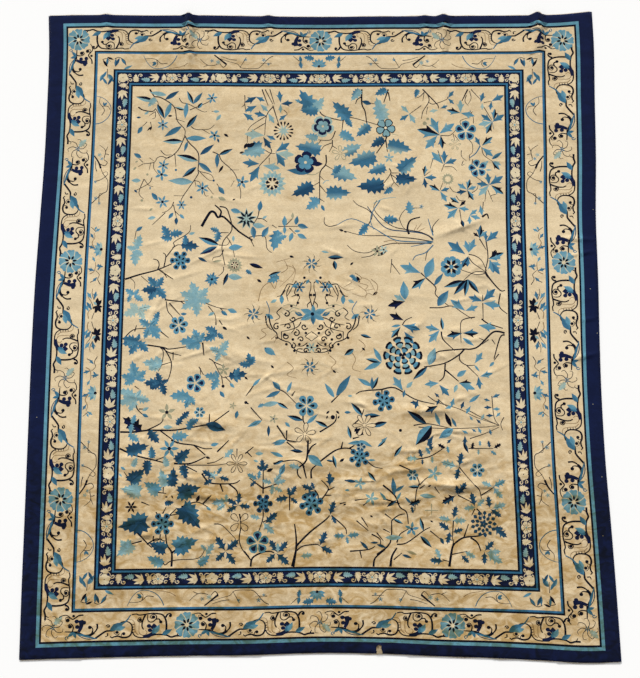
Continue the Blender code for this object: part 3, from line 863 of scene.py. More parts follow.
# %% Third band of the field, left: maples on long thorny twigs
draw(field, """
stem k 0.8: -121 -12 -115 -6 -106 -5, -114 -7 -113 -3, -98 -7 -93 -11, -97 -17 -93 -20 -85 -22
  -96 -17 -91 -26 -92 -35 -94 -38, -90 -20 -90 -25, -112 -52 -111 -55 -108 -58 -105 -59, -110 -55 -106 -55
stem k 1.0: -109 -15 -96 -17 -92 -18 -79 -16, -72 -14 -71 -22
stem s 0.7: -98 -17 -96 -20 -97 -28 -99 -32, -113 -41 -110 -43, -97 -28 -91 -26, -74 -29 -71 -34
  -73 -30 -73 -34, -68 -24 -65 -26 -60 -35 -56 -35, -65 -26 -58 -29, -60 -35 -59 -41, -58 -35 -54 -39
stem s 0.8: -64 -3 -64 1, -62 0 -60 -3
stem k 1.2: -121 -69 -113 -69 -104 -68 -90 -68 -82 -67 -71 -65 -66 -64 -55 -56
stem k 0.9: -105 -68 -97 -64 -95 -61, -67 -63 -67 -58, -97 -68 -86 -76
cut: b -105 -4 -98 -12 -108 -12 -112 1 -99 2 -97 -7, m -112 -13 -105 -20 -117 -22 -122 -15 -111 -8 -122 -11
  b -74 -14 -87 -13 -78 -5 -82 -18 -71 -7 -75 -19, t -97 -28 -109 -26 -101 -22 -105 -31
  b -113 -37 -115 -25 -106 -31 -122 -34 -120 -40, b -111 -37 -106 -37
  dm -97 -39 -108 -39 -100 -32 -94 -47 -92 -37 -104 -43
  t -112 -48 -123 -43 -116 -57 -103 -50 -109 -43 -123 -52, b -79 -47 -92 -47 -82 -55 -76 -53
  m -63 -8 -72 -13 -71 -4 -59 -12, t -61 -20 -68 -17 -56 -12 -64 -26 -56 -22
  b -62 -36 -71 -34 -66 -44 -64 -31, dm -56 -35 -44 -33, m -52 -35 -50 -39 -49 -29
  mb -42 -28 -50 -27 -44 -20 -40 -22, nk -108 -68 -120 -60, b -114 -64 -112 -58 -115 -70
  b -116 -70 -109 -75, d -104 -68 -97 -76, d -87 -65 -83 -59, dm -84 -61 -79 -56, m -80 -68 -77 -60
  m -79 -64 -73 -61, b -90 -72 -79 -71
bud: m -108 -58 -104 -60, t -108 -56 -104 -54, b -55 -39 -52 -42, m -61 -44 -58 -48, m -50 -56 -51 -61
  k -60 -4 -57 -6, k -45 -10 -43 -12, k -46 -35 -44 -37
broad: dm -69 -64 -57 -68, t -95 -66 -89 -66
eyed6: -87 -3 6 10, -73 -57 3.5 0
eyed: -76 -39 6 0
star: -59 -31 4 20 gg, -93 -57 5.5 20 gk, -53 -53 2.5 0 gg
dot k 1.0: -59 -41, -45 -51, 49 -68
""")

# %% Third band, middle: below the medallion, a blue blossom and leaves in pairs
draw(field, """
stem k 0.5: -9 -10 -5 -7, -5 -7 -1 -10, -1 -10 -5 -13, -5 -13 -9 -10
stem s 0.8: -40 -40 -45 -47, -25 -43 -21 -45 -14 -52, -17 -47 -15 -44, -42 -54 -35 -62
stem k 0.9: 7 -51 13 -45, 38 -43 26 -44 22 -46, 21 -64 25 -60 27 -55
stem k 1.0: -10 -58 -10 -62 -8 -66, -8 -64 -4 -61, 0 -69 8 -64 10 -61 10 -58, -26 -65 -20 -74
  -20 -68 -20 -74, -20 -74 -14 -75, 20 -73 24 -72
broad: kb -34 -17 -29 -22, b -33 -17 -27 -22, bk 21 -18 15 -22, mt -24 -43 -29 -38
bud: k -30 -28 -28 -30, k 8 -31 10 -33, k 26 -17 28 -19, t 20 -47 17 -47, m 15 -57 19 -57
  b -21 -63 -18 -66, k -45 -51 -43 -52, k 4 -58 6 -56, k 10 -56 12 -58, k 11 -61 12 -59, k 4 -61 5 -59
lance: mk 25 -9 32 -11, b -41 -41 -36 -36, m -24 -44 -33 -48, b -20 -45 -17 -38, t -25 -51 -36 -53
  kb -26 -51 -19 -55, b -35 -62 -44 -66, bt 9 -48 3 -39, bt 32 -41 23 -36, bk 26 -59 19 -51
  mk 27 -59 37 -59, mk -10 -62 -20 -59, b -8 -64 -1 -58, bk 5 -66 -3 -62, d -31 -65 -31 -72
  b -20 -74 -29 -76, bk 19 -73 17 -65, b 26 -75 17 -76, b 24 -74 31 -77, mk 41 -63 30 -66, mb 10 -47 19 -34
  b 38 -26 33 -17 27 -31, kb 37 -26 28 -24, bk 32 -43 36 -35, m 32 -43 32 -35
cut: b -34 -52 -38 -54, k 21 -67 27 -71
star6: -5 -17 3.5 0 p
eyed6: -8 -53 7 0
star: -28 -61 3 0 gd
lined round s: 27 -65 7.5 6 0, -9 -70 7 5 10
dot k 1.4: 8 -60
""")

# %% Third band, right: the great peony and three-lobed leaves on arching stems
draw(field, """
stem s 0.8: 51 -3 53 0 57 2, 96 2 90 1 87 -2 87 -14, 110 -21 107 -25, 86 -21 86 -25 90 -28 95 -28
  57 -65 66 -64 80 -67
stem s 0.7: 90 -28 97 -35, 60 -33 66 -29, 102 -13 98 -11, 104 -12 100 -15, 106 -12 108 -15
stem k 1.0: 75 -7 76 -12 83 -19, 100 1 104 -2 113 -5, 77 -27 76 -35 73 -38, 77 -31 85 -38
  38 -43 46 -42 58 -49 70 -52
stem k 1.2: 114 -8 110 -7 106 -8 98 -16 93 -18 88 -18 76 -19 72 -20 69 -23
stem k 1.1: 89 -18 85 -22 76 -27 64 -29, 114 -9 111 -11 107 -24
stem k 0.9: 38 -43 38 -47
stem s 0.6: 66 -47 72 -51 85 -55 95 -60 109 -65, 72 -49 78 -54, 60 -66 80 -67 100 -66 109 -65
  91 -73 100 -70 109 -66, 105 -47 106 -60 109 -65, 112 -60 110 -64 111 -68, 91 -56 100 -61 109 -65
lance: bm 50 -3 44 -4, kb 76 -6 75 2, b 88 -11 95 -16, mk 66 -29 57 -37, b 95 -28 98 -32, b 91 -51 98 -46
  k 80 -66 76 -57, m 83 -66 80 -60, b 73 -65 70 -57, dk 65 -64 53 -56
tooth: kb 50 -4 44 -11, m 51 -3 62 -6, m 52 -7 58 -15, b 74 -6 65 -4 67 -14, mk 88 -8 78 -10 98 -8
  b 98 -3 109 -5, b 95 -27 100 -20, m 97 -35 98 -43, bt 98 -35 106 -33, kb 85 -39 93 -39, b 85 -39 95 -43
  b 73 -39 64 -40, m 73 -40 79 -47, b 51 -44 45 -35, m 52 -43 51 -48, d 60 -49 58 -55, d 60 -51 55 -51
  dk 72 -53 64 -57, d 71 -53 73 -49, d 70 -45 73 -48, d 88 -50 86 -55, b 82 -48 80 -54, b 76 -55 81 -53
  b 92 -53 89 -58, b 91 -59 93 -62, d 95 -61 98 -64, m 104 -50 100 -49, m 105 -48 110 -46
  d 105 -54 100 -54, b 105 -55 110 -55, d 106 -59 101 -59, b 107 -60 110 -57, t 98 -62 100 -58
  d 69 -71 65 -77, d 80 -73 77 -76, d 88 -71 88 -77, b 86 -68 90 -70, m 92 -67 95 -69, m 103 -67 104 -71
  b 41 -72 37 -76, b 96 -66 98 -70
broad: tm 67 -28 71 -17, bt 84 -35 90 -31, t 84 -40 82 -45, t 53 -42 57 -38, b 107 -26 104 -29
  kb 68 -65 58 -77, b 81 -67 72 -73
peony: 51 -22 12 0
bunch: 39 -50 7 10 mkbk
""")

# %% [markdown]
# The last band stands on the near line of the field. Its small trees are the darkest part
# of the pattern, and their leaves are drawn in the deep dyes d and m.

# %% Last band of the field, left: dark maples, a bunch of round blossoms, a bare bough
draw(field, """
stem k 1.2: -121 -79 -112 -83 -100 -86 -92 -88, -88 -88 -78 -88 -69 -84
stem k 1.0: -90 -74 -84 -76 -76 -77 -70 -79 -65 -79, -76 -77 -69 -83, -62 -81 -55 -74, -82 -89 -74 -93
  -109 -129 -100 -138, -106 -134 -113 -136, -103 -136 -98 -133 -94 -133
stem s 0.7: -80 -89 -70 -89 -62 -89 -56 -88, -68 -88 -63 -87 -58 -84, -115 -97 -118 -93
  -99 -86 -94 -84 -91 -81, -50 -79 -50 -84, -63 -124 -58 -125 -50 -133
stem k 0.8: -99 -105 -92 -106, -94 -102 -94 -106, -107 -111 -102 -113, -98 -117 -96 -120, -91 -120 -86 -115
  -94 -118 -92 -114, -95 -130 -95 -133 -92 -134, -99 -131 -99 -134 -95 -133, -90 -119 -84 -118
stem k 1.3: -88 -149 -88 -141 -91 -136 -92 -128, -88 -141 -84 -138
stem s 0.8: -98 -146 -94 -145 -92 -148 -89 -146 -84 -145 -72 -144 -68 -138
stem k 0.9: -83 -114 -74 -111 -67 -114, -70 -112 -65 -107, -48 -118 -47 -125 -48 -133 -46 -139 -42 -143
stem k 1.1: -71 -94 -68 -98 -64 -100 -52 -100 -48 -98, -60 -100 -58 -105, -55 -100 -50 -104 -49 -108
oak: dm -117 -81 -103 -77, m -101 -85 -102 -77, d -104 -86 -104 -96, dm -87 -87 -78 -79, t -92 -90 -94 -83
  dm -83 -89 -80 -98, t -113 -90 -110 -84, t -93 -102 -96 -91, d -89 -102 -88 -90, m -81 -104 -86 -110
  dm -93 -112 -87 -111, b -93 -148 -103 -143, b -72 -148 -65 -142, m -82 -137 -80 -142
  t -115 -139 -119 -133
palm: dm -114 -99 -105 -91, b -97 -105 -106 -99, dm -84 -106 -71 -102, t -108 -105 -120 -103
  dm -104 -123 -121 -126, dm -92 -139 -102 -135, m -86 -138 -72 -133, d -82 -114 -71 -127
  t -112 -136 -121 -143
bud: k -69 -84 -66 -85, b -120 -90 -117 -92, t -121 -94 -119 -96, k -93 -108 -91 -108, k -89 -107 -88 -109
  k -74 -111 -72 -107, b -68 -114 -65 -116
slim: dm -63 -97 -71 -92, m -62 -95 -59 -90, d -61 -96 -54 -98, d -64 -97 -70 -101, t -58 -85 -52 -79
  d -49 -113 -48 -105 -56 -117 -41 -114 -56 -109, t -55 -110 -65 -112, t -56 -112 -56 -106 -62 -116
  d -56 -140 -62 -131 -48 -133, dm -56 -140 -62 -146 -50 -148, t -68 -143 -63 -135, t -67 -140 -71 -136
broad: b -66 -77 -61 -76
star6: -91 -79 6 0, -113 -114 4 0 k
bunch: -94 -124 7 0 mkbk
star: -64 -95 3 0 tt
lined round s: -50 -88 6.5 6 0, -48 -123 7 4 45
""")

# %% Last band, middle: trees with open blossoms on the lower line
draw(field, """
stem k 0.9: -45 -82 -40 -78, -44 -81 -41 -84, -28 -88 -15 -86 -9 -90, -20 -75 -14 -80
  0 -111 5 -104 4 -101 1 -98, 5 -104 9 -102, 3 -107 7 -107, 7 -119 15 -126 16 -130
  -14 -140 -10 -137 -2 -136 0 -137, 18 -140 29 -139 33 -137, 24 -140 25 -144, 31 -130 36 -133 36 -137
stem k 1.0: -34 -106 -34 -100 -34 -92, -34 -103 -42 -97, -34 -103 -25 -100
stem k 1.2: -7 -74 -8 -86 -13 -91 -13 -95 -11 -97, -10 -89 -8 -97, -5 -97 -5 -92 -2 -89
  -7 -82 -5 -78 -2 -76, -41 -149 -40 -144 -35 -141 -30 -140 -27 -141, -45 -140 -41 -145
stem k 1.1: 0 -87 8 -81 13 -79 18 -79 22 -81, 13 -79 14 -75, 18 -79 21 -77, -3 -104 -1 -107 -1 -111
  -18 -105 -18 -116
stem s 0.8: 29 -87 33 -90 38 -91, 15 -98 20 -99 33 -99, 21 -110 29 -109, 26 -113 29 -111, 12 -112 16 -111
  22 -122 29 -128, 25 -120 29 -126
stem s 0.9: -34 -115 -34 -121 -37 -130, -34 -123 -30 -121
stem k 2.2: -16 -149 -14 -139
stem k 1.3: -14 -139 -14 -132 -15 -124, -14 -137 -6 -129 3 -122 6 -119, 32 -149 33 -144 39 -139
bud: t -39 -82 -34 -82, t -40 -86 -37 -87, k -32 -93 -28 -91, k 12 -87 15 -85, b 18 -104 15 -104
  k 16 -112 14 -113
slim: d -34 -93 -35 -85 -38 -89 -31 -88, b -37 -98 -44 -94 -36 -92, dm -38 -98 -42 -102
  t -28 -100 -23 -94 -20 -98 -29 -107 -35 -98, t -28 -102 -22 -105, t -11 -91 -19 -89, dm 6 -102 6 -93
  dm 6 -100 9 -96, dm -3 -104 -11 -101 -10 -109 -5 -99, d -18 -108 -14 -101 -27 -110 -13 -112 -19 -102
  dm -33 -124 -25 -117, t -35 -121 -42 -119, t -34 -123 -27 -130, d -25 -141 -30 -133 -19 -134
  dm -26 -141 -32 -147 -18 -148, d 0 -137 4 -128 8 -141, t -12 -143 -4 -142, d 6 -119 9 -110
  dm 7 -119 10 -124, t -25 -141 -25 -135, b 16 -131 8 -131 24 -130 17 -136
lance: b -22 -84 -30 -81, mk -22 -86 -28 -89, b -21 -75 -28 -77, kd -10 -81 -18 -80, mk 4 -86 9 -87
  bk 8 -83 10 -91, b 29 -86 34 -86, kb 29 -93 34 -99, d 22 -99 15 -98, b 26 -75 32 -78, dm 29 -139 24 -134
  d 35 -135 30 -135
broad: b -24 -95 -21 -88, bt -7 -83 2 -90
bunch: 24 -84 6.5 20 mkbk, -34 -112 6 0 dkmk, -5 -112 7.5 15
eyed: 25 -78 3 0, -37 -135 7 20
star: 24 -100 4 0 tt, 31 -109 4.5 0 tt
""")

# %% Last band, right: small trees of lance leaves, pale and dark three-lobed leaves
draw(field, """
stem k 0.9: 53 -86 66 -84 76 -78, 48 -89 56 -93 59 -97 60 -101, 60 -100 58 -105 57 -116, 60 -103 63 -101
  86 -132 89 -124, 43 -122 47 -119 51 -118, 46 -136 52 -135 62 -128 66 -126, 46 -135 48 -130 53 -127
stem s 0.7: 60 -101 64 -97 68 -95, 84 -90 88 -95 93 -101, 90 -79 97 -79 105 -79, 69 -102 72 -106
stem g 0.7: 63 -116 71 -116, 67 -112 67 -119
stem k 1.1: 38 -101 45 -107 48 -114 52 -117 53 -124, 38 -109 48 -112
stem k 0.8: 83 -107 91 -111, 93 -115 91 -119, 94 -115 97 -118 97 -120, 103 -117 101 -120
  93 -101 96 -104 97 -109, 97 -107 105 -102, 80 -122 79 -134, 79 -138 80 -133, 44 -145 49 -141
  39 -118 43 -121, 38 -127 42 -129
stem k 1.6: 77 -149 79 -138 81 -135, 42 -149 43 -143 46 -138
stem k 1.2: 81 -135 86 -132 95 -131 99 -129, 90 -132 94 -135 96 -140, 34 -142 42 -135 43 -122
stem s 0.8: 78 -142 88 -140, 73 -145 77 -146, 66 -128 72 -133, 34 -129 38 -134
lance: bk 35 -78 40 -74, kb 45 -84 50 -77, mb 45 -107 44 -96, mb 45 -105 51 -101, kb 60 -102 53 -102
  tm 60 -107 70 -108, b 40 -110 36 -105, mk 46 -110 40 -114, b 46 -110 49 -105, mb 55 -112 51 -108
  bk 44 -121 50 -124, bk 62 -128 60 -120, mk 60 -131 67 -138, t 39 -132 50 -132, dm 49 -142 55 -144
  g 52 -140 58 -142, dm 34 -136 40 -138, dk 87 -75 90 -82
slim: d 68 -81 66 -74, k 71 -76 76 -79, b 77 -77 78 -82, dm 62 -85 60 -79 62 -89, b 67 -83 64 -78
  t 68 -83 68 -88, t 60 -85 52 -85, dm 84 -90 86 -81 82 -98, t 83 -90 73 -87, k 92 -80 93 -75
  b 97 -78 97 -74, t 96 -79 96 -83, d 103 -79 102 -74, k 105 -79 110 -76, b 103 -80 107 -83
  kd 53 -113 61 -110, d 55 -113 56 -118, d 83 -107 88 -99 82 -101, dk 82 -107 73 -112, dm 93 -114 91 -105
  t 94 -114 86 -115 99 -109, dm 102 -115 101 -107, t 103 -115 112 -112, d 102 -115 109 -120
  b 104 -102 112 -98, t 104 -102 97 -99 110 -109, dm 80 -121 82 -113, t 79 -122 71 -120 88 -122
  d 78 -128 71 -123 76 -136, dm 79 -129 86 -127, dm 104 -126 112 -132 110 -127, d 98 -140 104 -134 98 -148
  t 99 -141 108 -140 109 -147, d 84 -142 89 -147, t 86 -140 93 -144, d 74 -146 65 -145, t 72 -145 69 -138
bud: k 65 -102 67 -101, k 66 -122 68 -123, d 72 -132 74 -136, k 30 -119 32 -120
eyed6: 56 -95 3.5 0, 95 -92 4.5 0
star: 69 -94 5 0 tt, 55 -127 4.5 10 bd
daisy: 98 -124 8 0
""")
print("field:", len(field.patches), "patches")

# %% [markdown]
# ## Borders that turn the corner
# A border's unit is charted once, on a straight strip: how far along, and how far in from the
# border's outer line. Laying a unit on a side of the carpet bends it with that side's
# own bow. The great vine runs one way round all four sides, and its rosettes are dyed and
# outlined by turns.

# %% Lay a straight unit on one side of the carpet
def lay(chart, unit, side, start, way, outer, inner, height, stretch=1.0):
    """Bend a unit's patches onto a side, from a start, one way or the other along it.

    The unit's height is the strip's width, from the outer line to the inner line.
    """
    depth_from, depth_to = getattr(LINE[outer], side), getattr(LINE[inner], side)

    def bend(points):
        points = np.asarray(points, dtype=float)
        along = start + way * stretch * points[:, 0]
        depth = depth_from + (depth_to - depth_from) * points[:, 1] / height
        place = line_place(side, depth, along)
        pairs = (place, along) if side in ("left", "right") else (along, place)
        return list(zip(*pairs))

    for patch in unit.patches:
        first, last = bend([patch.start, patch.end])
        chart.patches.append(Patch(bend(patch.outline), patch.start_dye, patch.end_dye,
                                   first, last))


# %% The vine's unit: a half-open lotus in its scroll, a ring with a blue leaf, a hook
VINE_PITCH = 73.0
VINE_HEIGHT = 17.5
vine_unit = Chart()
draw(vine_unit, """
stem k 1.2: 3 2 6 2 8.5 1.3 11 2.5 14 3 17 3 19.5 2.3 21 1.4 26 1.4 28.5 2.6 30 5
  12 3.2 11.3 6 11.3 10 12 13 13.5 15.2 16 16 20 16.2 26 15.3 28 16 30.5 15.6
  11.7 13.5 11 15.2 9.6 16 8.4 15.2, 36 1.7 33.6 1.5 31.4 2.4 30.2 4.8 30.1 8.4 31.4 10.6 33.6 11.6
  50 1.4 45 5.3 43 5.8 40.4 5.9 38.8 7 37.8 9.2 36 11 33.6 11.6
stem k 0.7: 5.5 2 4.5 4.2, 17 12.6 16.8 14.4 18 15.5 19.6 15.2 20.2 13.8 19 12.8
  24.5 11.6 25.8 10.8 27.1 12 26.4 13.6 25 13.4
stem n 3.4: 19.2 8.8 17.4 7 17.8 4.6 20.4 2.6 24 1.8
stem o 0.5: 22.5 3 21.8 4.6 23 6, 24 2.6 26 4 26.3 8 26 12, 26.5 3 28.3 5 28.6 9 29.6 12 32 12.6 34 11.8
  23.6 6.4 25 9
stem k 0.5: 28.6 4.8 29.8 4.6, 28.8 6.4 30 6.2, 28.9 8 30.1 7.8, 29 9.5 30.2 9.4, 36 1.8 35.8 3.6 35 4.6
  36.8 4 38.2 3.2 39.8 4.2 39.8 5.4, 64.4 14 66.4 14.8 67 13
stem k 0.9: 14.5 10.8 15.4 12.6 17.2 12.4 18.8 11 20.6 11 21.7 12.6 21.6 15.4
  57 15.9 59.6 15.6 61.4 14.2 63 13.4 64.6 14.8 66.4 16 69 15.6 70.4 14.6
stem k 1.1: 22.8 15.8 23.8 13.4 24.6 10.6 24.6 8 23.8 6.2, 36 1.7 37.6 2.4 40 2 40.9 1.4 42 2.4
  49.4 10.4 49.2 7.6 50.6 5.2 53 3.4, 60 5.4 67 5.8
stem k 0.8: 43.5 4.4 43.4 2.8 44.8 2.2, 52 4.8 51.6 7 52.6 8.6, 62.8 5.8 62.4 8.6 63.8 10.6 65.6 9.6
stem m 1.1: 36.2 9.6 33.2 12 31 15.6
stem d 0.7: 49 1.3 54 1 58 2.4 61 5
stem k 1.8: 51 5 53 3.4 56 3.1 59 4.6 62 5.4
stem n 2.9: 58.4 12.8 58 9.2 59.4 5.4
curl k 0.6: 43.2 8.6 1.2 0 300
curl m 0.5: 65.6 2 1.3 270 300
broad: m 13.5 3 8 6.2, b 17.5 3.6 15 9.4, m 18.6 3.4 18 7.6, m 62 5.4 60.8 1.4 65.4 2.4
bud: m 42.4 6 34.6 10.8, b 39.4 6.2 33.6 8.2
blade: m 62 4.8 49 1
dot k 0.95: 9.2 14.6
dot n 1.3: 20.8 8.4, 20.2 5.8, 60.6 12, 60.2 8.6, 56.6 11.2
dot k 1: 14.4 10.8, 25.7 12.3, 34.6 3.9, 38.3 4.8
dot k 1.1: 18.5 13.9, 53.3 8.2
dot k 1.2: 64.2 8.9, 65.6 12.8
dot k 0.86: 62.4 15.4
""")
print("vine unit:", len(vine_unit.patches), "patches")

# %% The vine's rosettes, dyed and outlined
ROSETTE_RADIUS = 7.6


def dyed_rosette(chart, centre, turn):
    """Eight notched blue petals that whirl round dark stamens."""
    for i in range(8):
        way = turn + 45 * i
        for lean in (-12, 10):
            chart.add(petal(centre, way + lean, 1.2, ROSETTE_RADIUS, 4.2, "round"), "t", "b",
                      polar(centre, 2.0, way), polar(centre, ROSETTE_RADIUS, way + 20))
    for i in range(8):
        way = turn + 45 * i
        stroke(chart, "w", 0.45, [polar(centre, 1.0, way + 18), polar(centre, 4.0, way + 14),
                                  polar(centre, ROSETTE_RADIUS, way + 26)], 0.35)
    for i in range(7):
        way = turn + 360 / 7 * i + 10
        leaf(chart, "bud", polar(centre, 1.0, way), polar(centre, 4.0, way), "k")
    dot(chart, "w", centre, 1.1)


def outlined_rosette(chart, centre, turn):
    """The same flower left in outline, with a blue heart and one cloudy leaf."""
    for i in range(7):
        way = turn + 360 / 7 * i
        stroke(chart, "s", 0.5, [polar(centre, 1.0, way), polar(centre, 3.6, way + 4),
                                 polar(centre, 6.2, way + 26), polar(centre, 6.0, way + 44)], 0.3)
    leaf(chart, "cut", polar(centre, 1.6, turn + 60), polar(centre, 8.6, turn + 50), "pg")
    flower(chart, "star", centre, 1.9, turn, "m.")


# %% Lay the vine round the carpet, clockwise
Run = namedtuple("Run", "side start way pitch units")
VINE_RUNS = [
    Run("left", -183.0, 1, 73.5, 5),
    Run("top", -156.0, 1, 78.3, 4),
    Run("right", 184.5, -1, 73.9, 5),
    Run("bottom", 156.5, -1, 78.2, 4),
]
CORNER_ROSETTES = {"left": (-157.0, -184.0), "top": (-156.0, 185.0), "right": (157.0, 184.5),
                   "bottom": (157.5, -185.0)}
vine = Chart()
rosettes = 0
for run in VINE_RUNS:
    for i in range(run.units):
        start = run.start + run.way * run.pitch * i
        lay(vine, vine_unit, run.side, start, run.way, "vine", "vine_end", VINE_HEIGHT,
            run.pitch / VINE_PITCH)
        depth = (getattr(LINE["vine"], run.side) + getattr(LINE["vine_end"], run.side)) / 2
        place = float(line_place(run.side, depth, start))
        centre = (place, start) if run.side in ("left", "right") else (start, place)
        centre = centre if i else CORNER_ROSETTES[run.side]
        kind = outlined_rosette if rosettes % 2 == 0 else dyed_rosette
        kind(vine, centre, 90 * VINE_RUNS.index(run))
        rosettes += 1
print("vine border:", len(vine.patches), "patches,", rosettes, "rosettes")

# %% [markdown]
# ## The navy border of cream leaves
# Between its blue lines this border is turned inside out: a cream pattern on a navy ground.
# One unit is a flower, a maple leaf with a tendril, a turquoise leaf, a fan of petals and a
# smaller maple leaf. The units run from the middle of each long side round the corners to the
# middle of each short end, where the two runs meet at one more flower.

# %% The leaf border's unit
LEAF_PITCH = 31.0
LEAF_HEIGHT = 7.0


def border_flower(unit, detailed):
    """Five round cream petals; the detailed kind has the lines of its petals drawn in."""
    centre = (0.0, 3.6)
    for i in range(5):
        unit.add(petal(centre, 72 * i + 18, 0.3, 3.6, 3.4, "round"), "w")
    if detailed:
        for i in range(5):
            way = 72 * i + 18
            stroke(unit, "o", 0.4, [polar(centre, 1.0, way - 16), polar(centre, 2.5, way)])
            stroke(unit, "n", 0.4, [polar(centre, 1.2, way + 36), polar(centre, 3.2, way + 36)])
        dot(unit, "t", centre, 0.7)


def leaf_unit(detailed):
    """One repeat, from one flower to just before the next."""
    unit = Chart()
    border_flower(unit, detailed)
    draw(unit, """
    curl w 0.5: 4.7 5.6 1.5 200 320, 4.4 1.4 1.3 30 300
    oak: w 8.4 6.9 8 0.3
    curl w 0.5: 11.2 1.7 1.5 150 320
    oak: t 17 5.4 11 4.4
    lance: w 23 2.6 17 0.5, w 23 3 16 2.9, w 22.8 3.4 17.4 6.6, w 22.2 3.6 21 7, w 22.4 2.4 20.4 -0.2
    oak: w 26 5.6 25.8 0.2
    curl w 0.5: 24.4 6 1.2 -40 320, 28.6 1.5 1.4 180 320
    stem w 0.5: 26.4 5.6 27.8 6.8 29.6 6.4
    """)
    return unit


# %% Lay the leaf border in four mirrored quarters
leaf_border = Chart()
QUARTERS = [("left", "top", 1, 1), ("left", "bottom", -1, 1), ("right", "top", 1, -1),
            ("right", "bottom", -1, -1)]
for side, end, up, inward in QUARTERS:
    corner_x, corner_y = corner_of(LINE["leaf"], side, end)
    long_run = abs(corner_y) - 3.0
    pitch = long_run / 5
    for i in range(5):
        lay(leaf_border, leaf_unit(i % 2 == 0), side, up * pitch * i, up, "leaf", "leaf_end",
            LEAF_HEIGHT, pitch / LEAF_PITCH)
    short_run = abs(corner_x) - 3.0
    pitch = short_run / 4
    for i in range(4):
        lay(leaf_border, leaf_unit(i % 2 == 1), end, -inward * (short_run - pitch * i), inward,
            "leaf", "leaf_end", LEAF_HEIGHT, pitch / LEAF_PITCH)
middle_flower = Chart()
border_flower(middle_flower, True)
for end in ("top", "bottom"):
    lay(leaf_border, middle_flower, end, 0.0, 1, "leaf", "leaf_end", LEAF_HEIGHT)
print("leaf border:", len(leaf_border.patches), "patches")

# %% [markdown]
# ## The border of scattered sprigs
# The narrow cream border holds small things, each far from the next: a flower fan, a
# moon-like half disc with a branch in it, plum boughs, fruit on a bent stem, and iris and
# bamboo in the corners. Each half of a side mirrors the other.

# %% Half of a long side, from its middle to the corner
SPRIG_HEIGHT = 10.5
long_sprigs = Chart()
draw(long_sprigs, """
stem o 0.6: 1 2 5 1.6 8 4.4 9.4 7, 29.4 1.4 31 4 34.4 4.8 37 4.6, 46 3.6 49.4 1.8 53 3.4 56 2.6
stem s 0.5: 7 5 11 3.6 15 1, 13 5 16.6 3.6 20 3.8, 0.8 4 4 5 7.6 6.6, 22.6 8.4 26 6.6 29 7.4 31.6 5
  24 2 25.4 4.4 26.6 6, 56.6 4 59.6 0.6, 75.6 4.6 81 4.6 81.2 6.2, 89.4 0.8 90.6 5 94 9.2 95.8 8 94.4 5.6
  105 6.4 110 7 113.6 3, 107 9.4 107.4 7 103.4 6.4, 109 7 112.6 8.6
  133.4 3.6 136.6 5.4 139.6 3.8 142 2 146 2.4, 139.6 4 139.4 7.6 137 9
stem s 0.6: 75 0 81 6 82.4 8.6 84.6 9.6 90 9.4 94 6.6 97.6 4.8 102 3.4, 96 2 99 1.2 103 1
  101 3.6 99.8 7 102 8.6 103.6 6.4
stem k 1.3: 98 4.6 102 3 106.4 0
stem m 0.6: 127.6 0 128.4 3.4 130.6 6.6 134.4 9.2 139.4 9.4 143.4 6.6 145.6 3 146.4 0
tooth: m 6.4 4 11.6 0.4, b 5.4 2 9.8 -0.2, bt 13.4 3.6 17.8 0.4, m 13 5 18.4 6, m 31.4 4.6 32.8 0
  m 34.6 4.8 34 9.8, b 37 4.4 40.6 2.6, m 27.6 6.4 24.4 3.4, md 45.6 4 47.4 -0.4, m 52 2.8 55.6 0.4
  b 56.4 3 58.6 6.6
bud: k 9 7 4.4 6.2 5 9.6 8.4 10.4 13 9.6 14.4 7 7.4 4.2, t 9.6 6.8 11.8 4.6, m 33.8 7.4 36 6 31.8 6.2
  b 57.6 3 60 4.2, m 139.8 5 142.4 4.6 142.2 7
broad: bt 45.2 7.6 40.6 4.4 45.2 2.6 49.8 4.6, tb 45.2 7.6 42.6 3 47.8 3.2
lance: p 45 7.8 40.2 7 50.2 7.2
star: 78.4 2.4 1.5 90 b., 75 4.8 1.2 40 b., 89 1.6 1.2 10 b., 107 3.4 1.5 90 tt, 104.4 5 1.3 20 bb
dot k 1.0: 45.2 7.8
""")

# %% Half of a short end, from its middle to the corner
short_sprigs = Chart()
draw(short_sprigs, """
stem s 0.5: 13 4.4 17 0.8, 30 1 33 2.6 38.4 8.6 42 9.6 50 9.4 53 6.6 58 5.2 64.6 3, 31 5.8 38 6
  47.4 2 51.4 9.2, 53.4 4 58 3.4 63.6 1.6, 66 7.2 70.6 8 74 6.4 77 3.4, 72 7.6 75 9
  98 6.2 102 6.6 105 4 108.6 3 112.6 3.2, 105 4.2 104.4 7 106 9
stem k 1.3: 60 7 68 0.6
stem k 0.6: 60 7 62 9 64.4 6.6
stem o 0.5: 85 6.4 89 8.6 97 10
stem m 0.6: 92 1 93.6 4.4 96.6 7.8 101.4 9.8 107 9.6 111 6 113.6 1
cut: m 3.4 2.6 10.6 1.4, m 12.6 4.6 11.6 9.6
broad: m 12 5 12.8 0.4
bud: m 105 6 108 5.8 108 8
star: 36 3.6 1.6 90 b., 33 6.6 1.2 20 b., 47.8 3.6 1.3 60 b., 69.4 4.6 1.4 0 b.
star6: 65.4 5.6 1.9 30 tt
""")

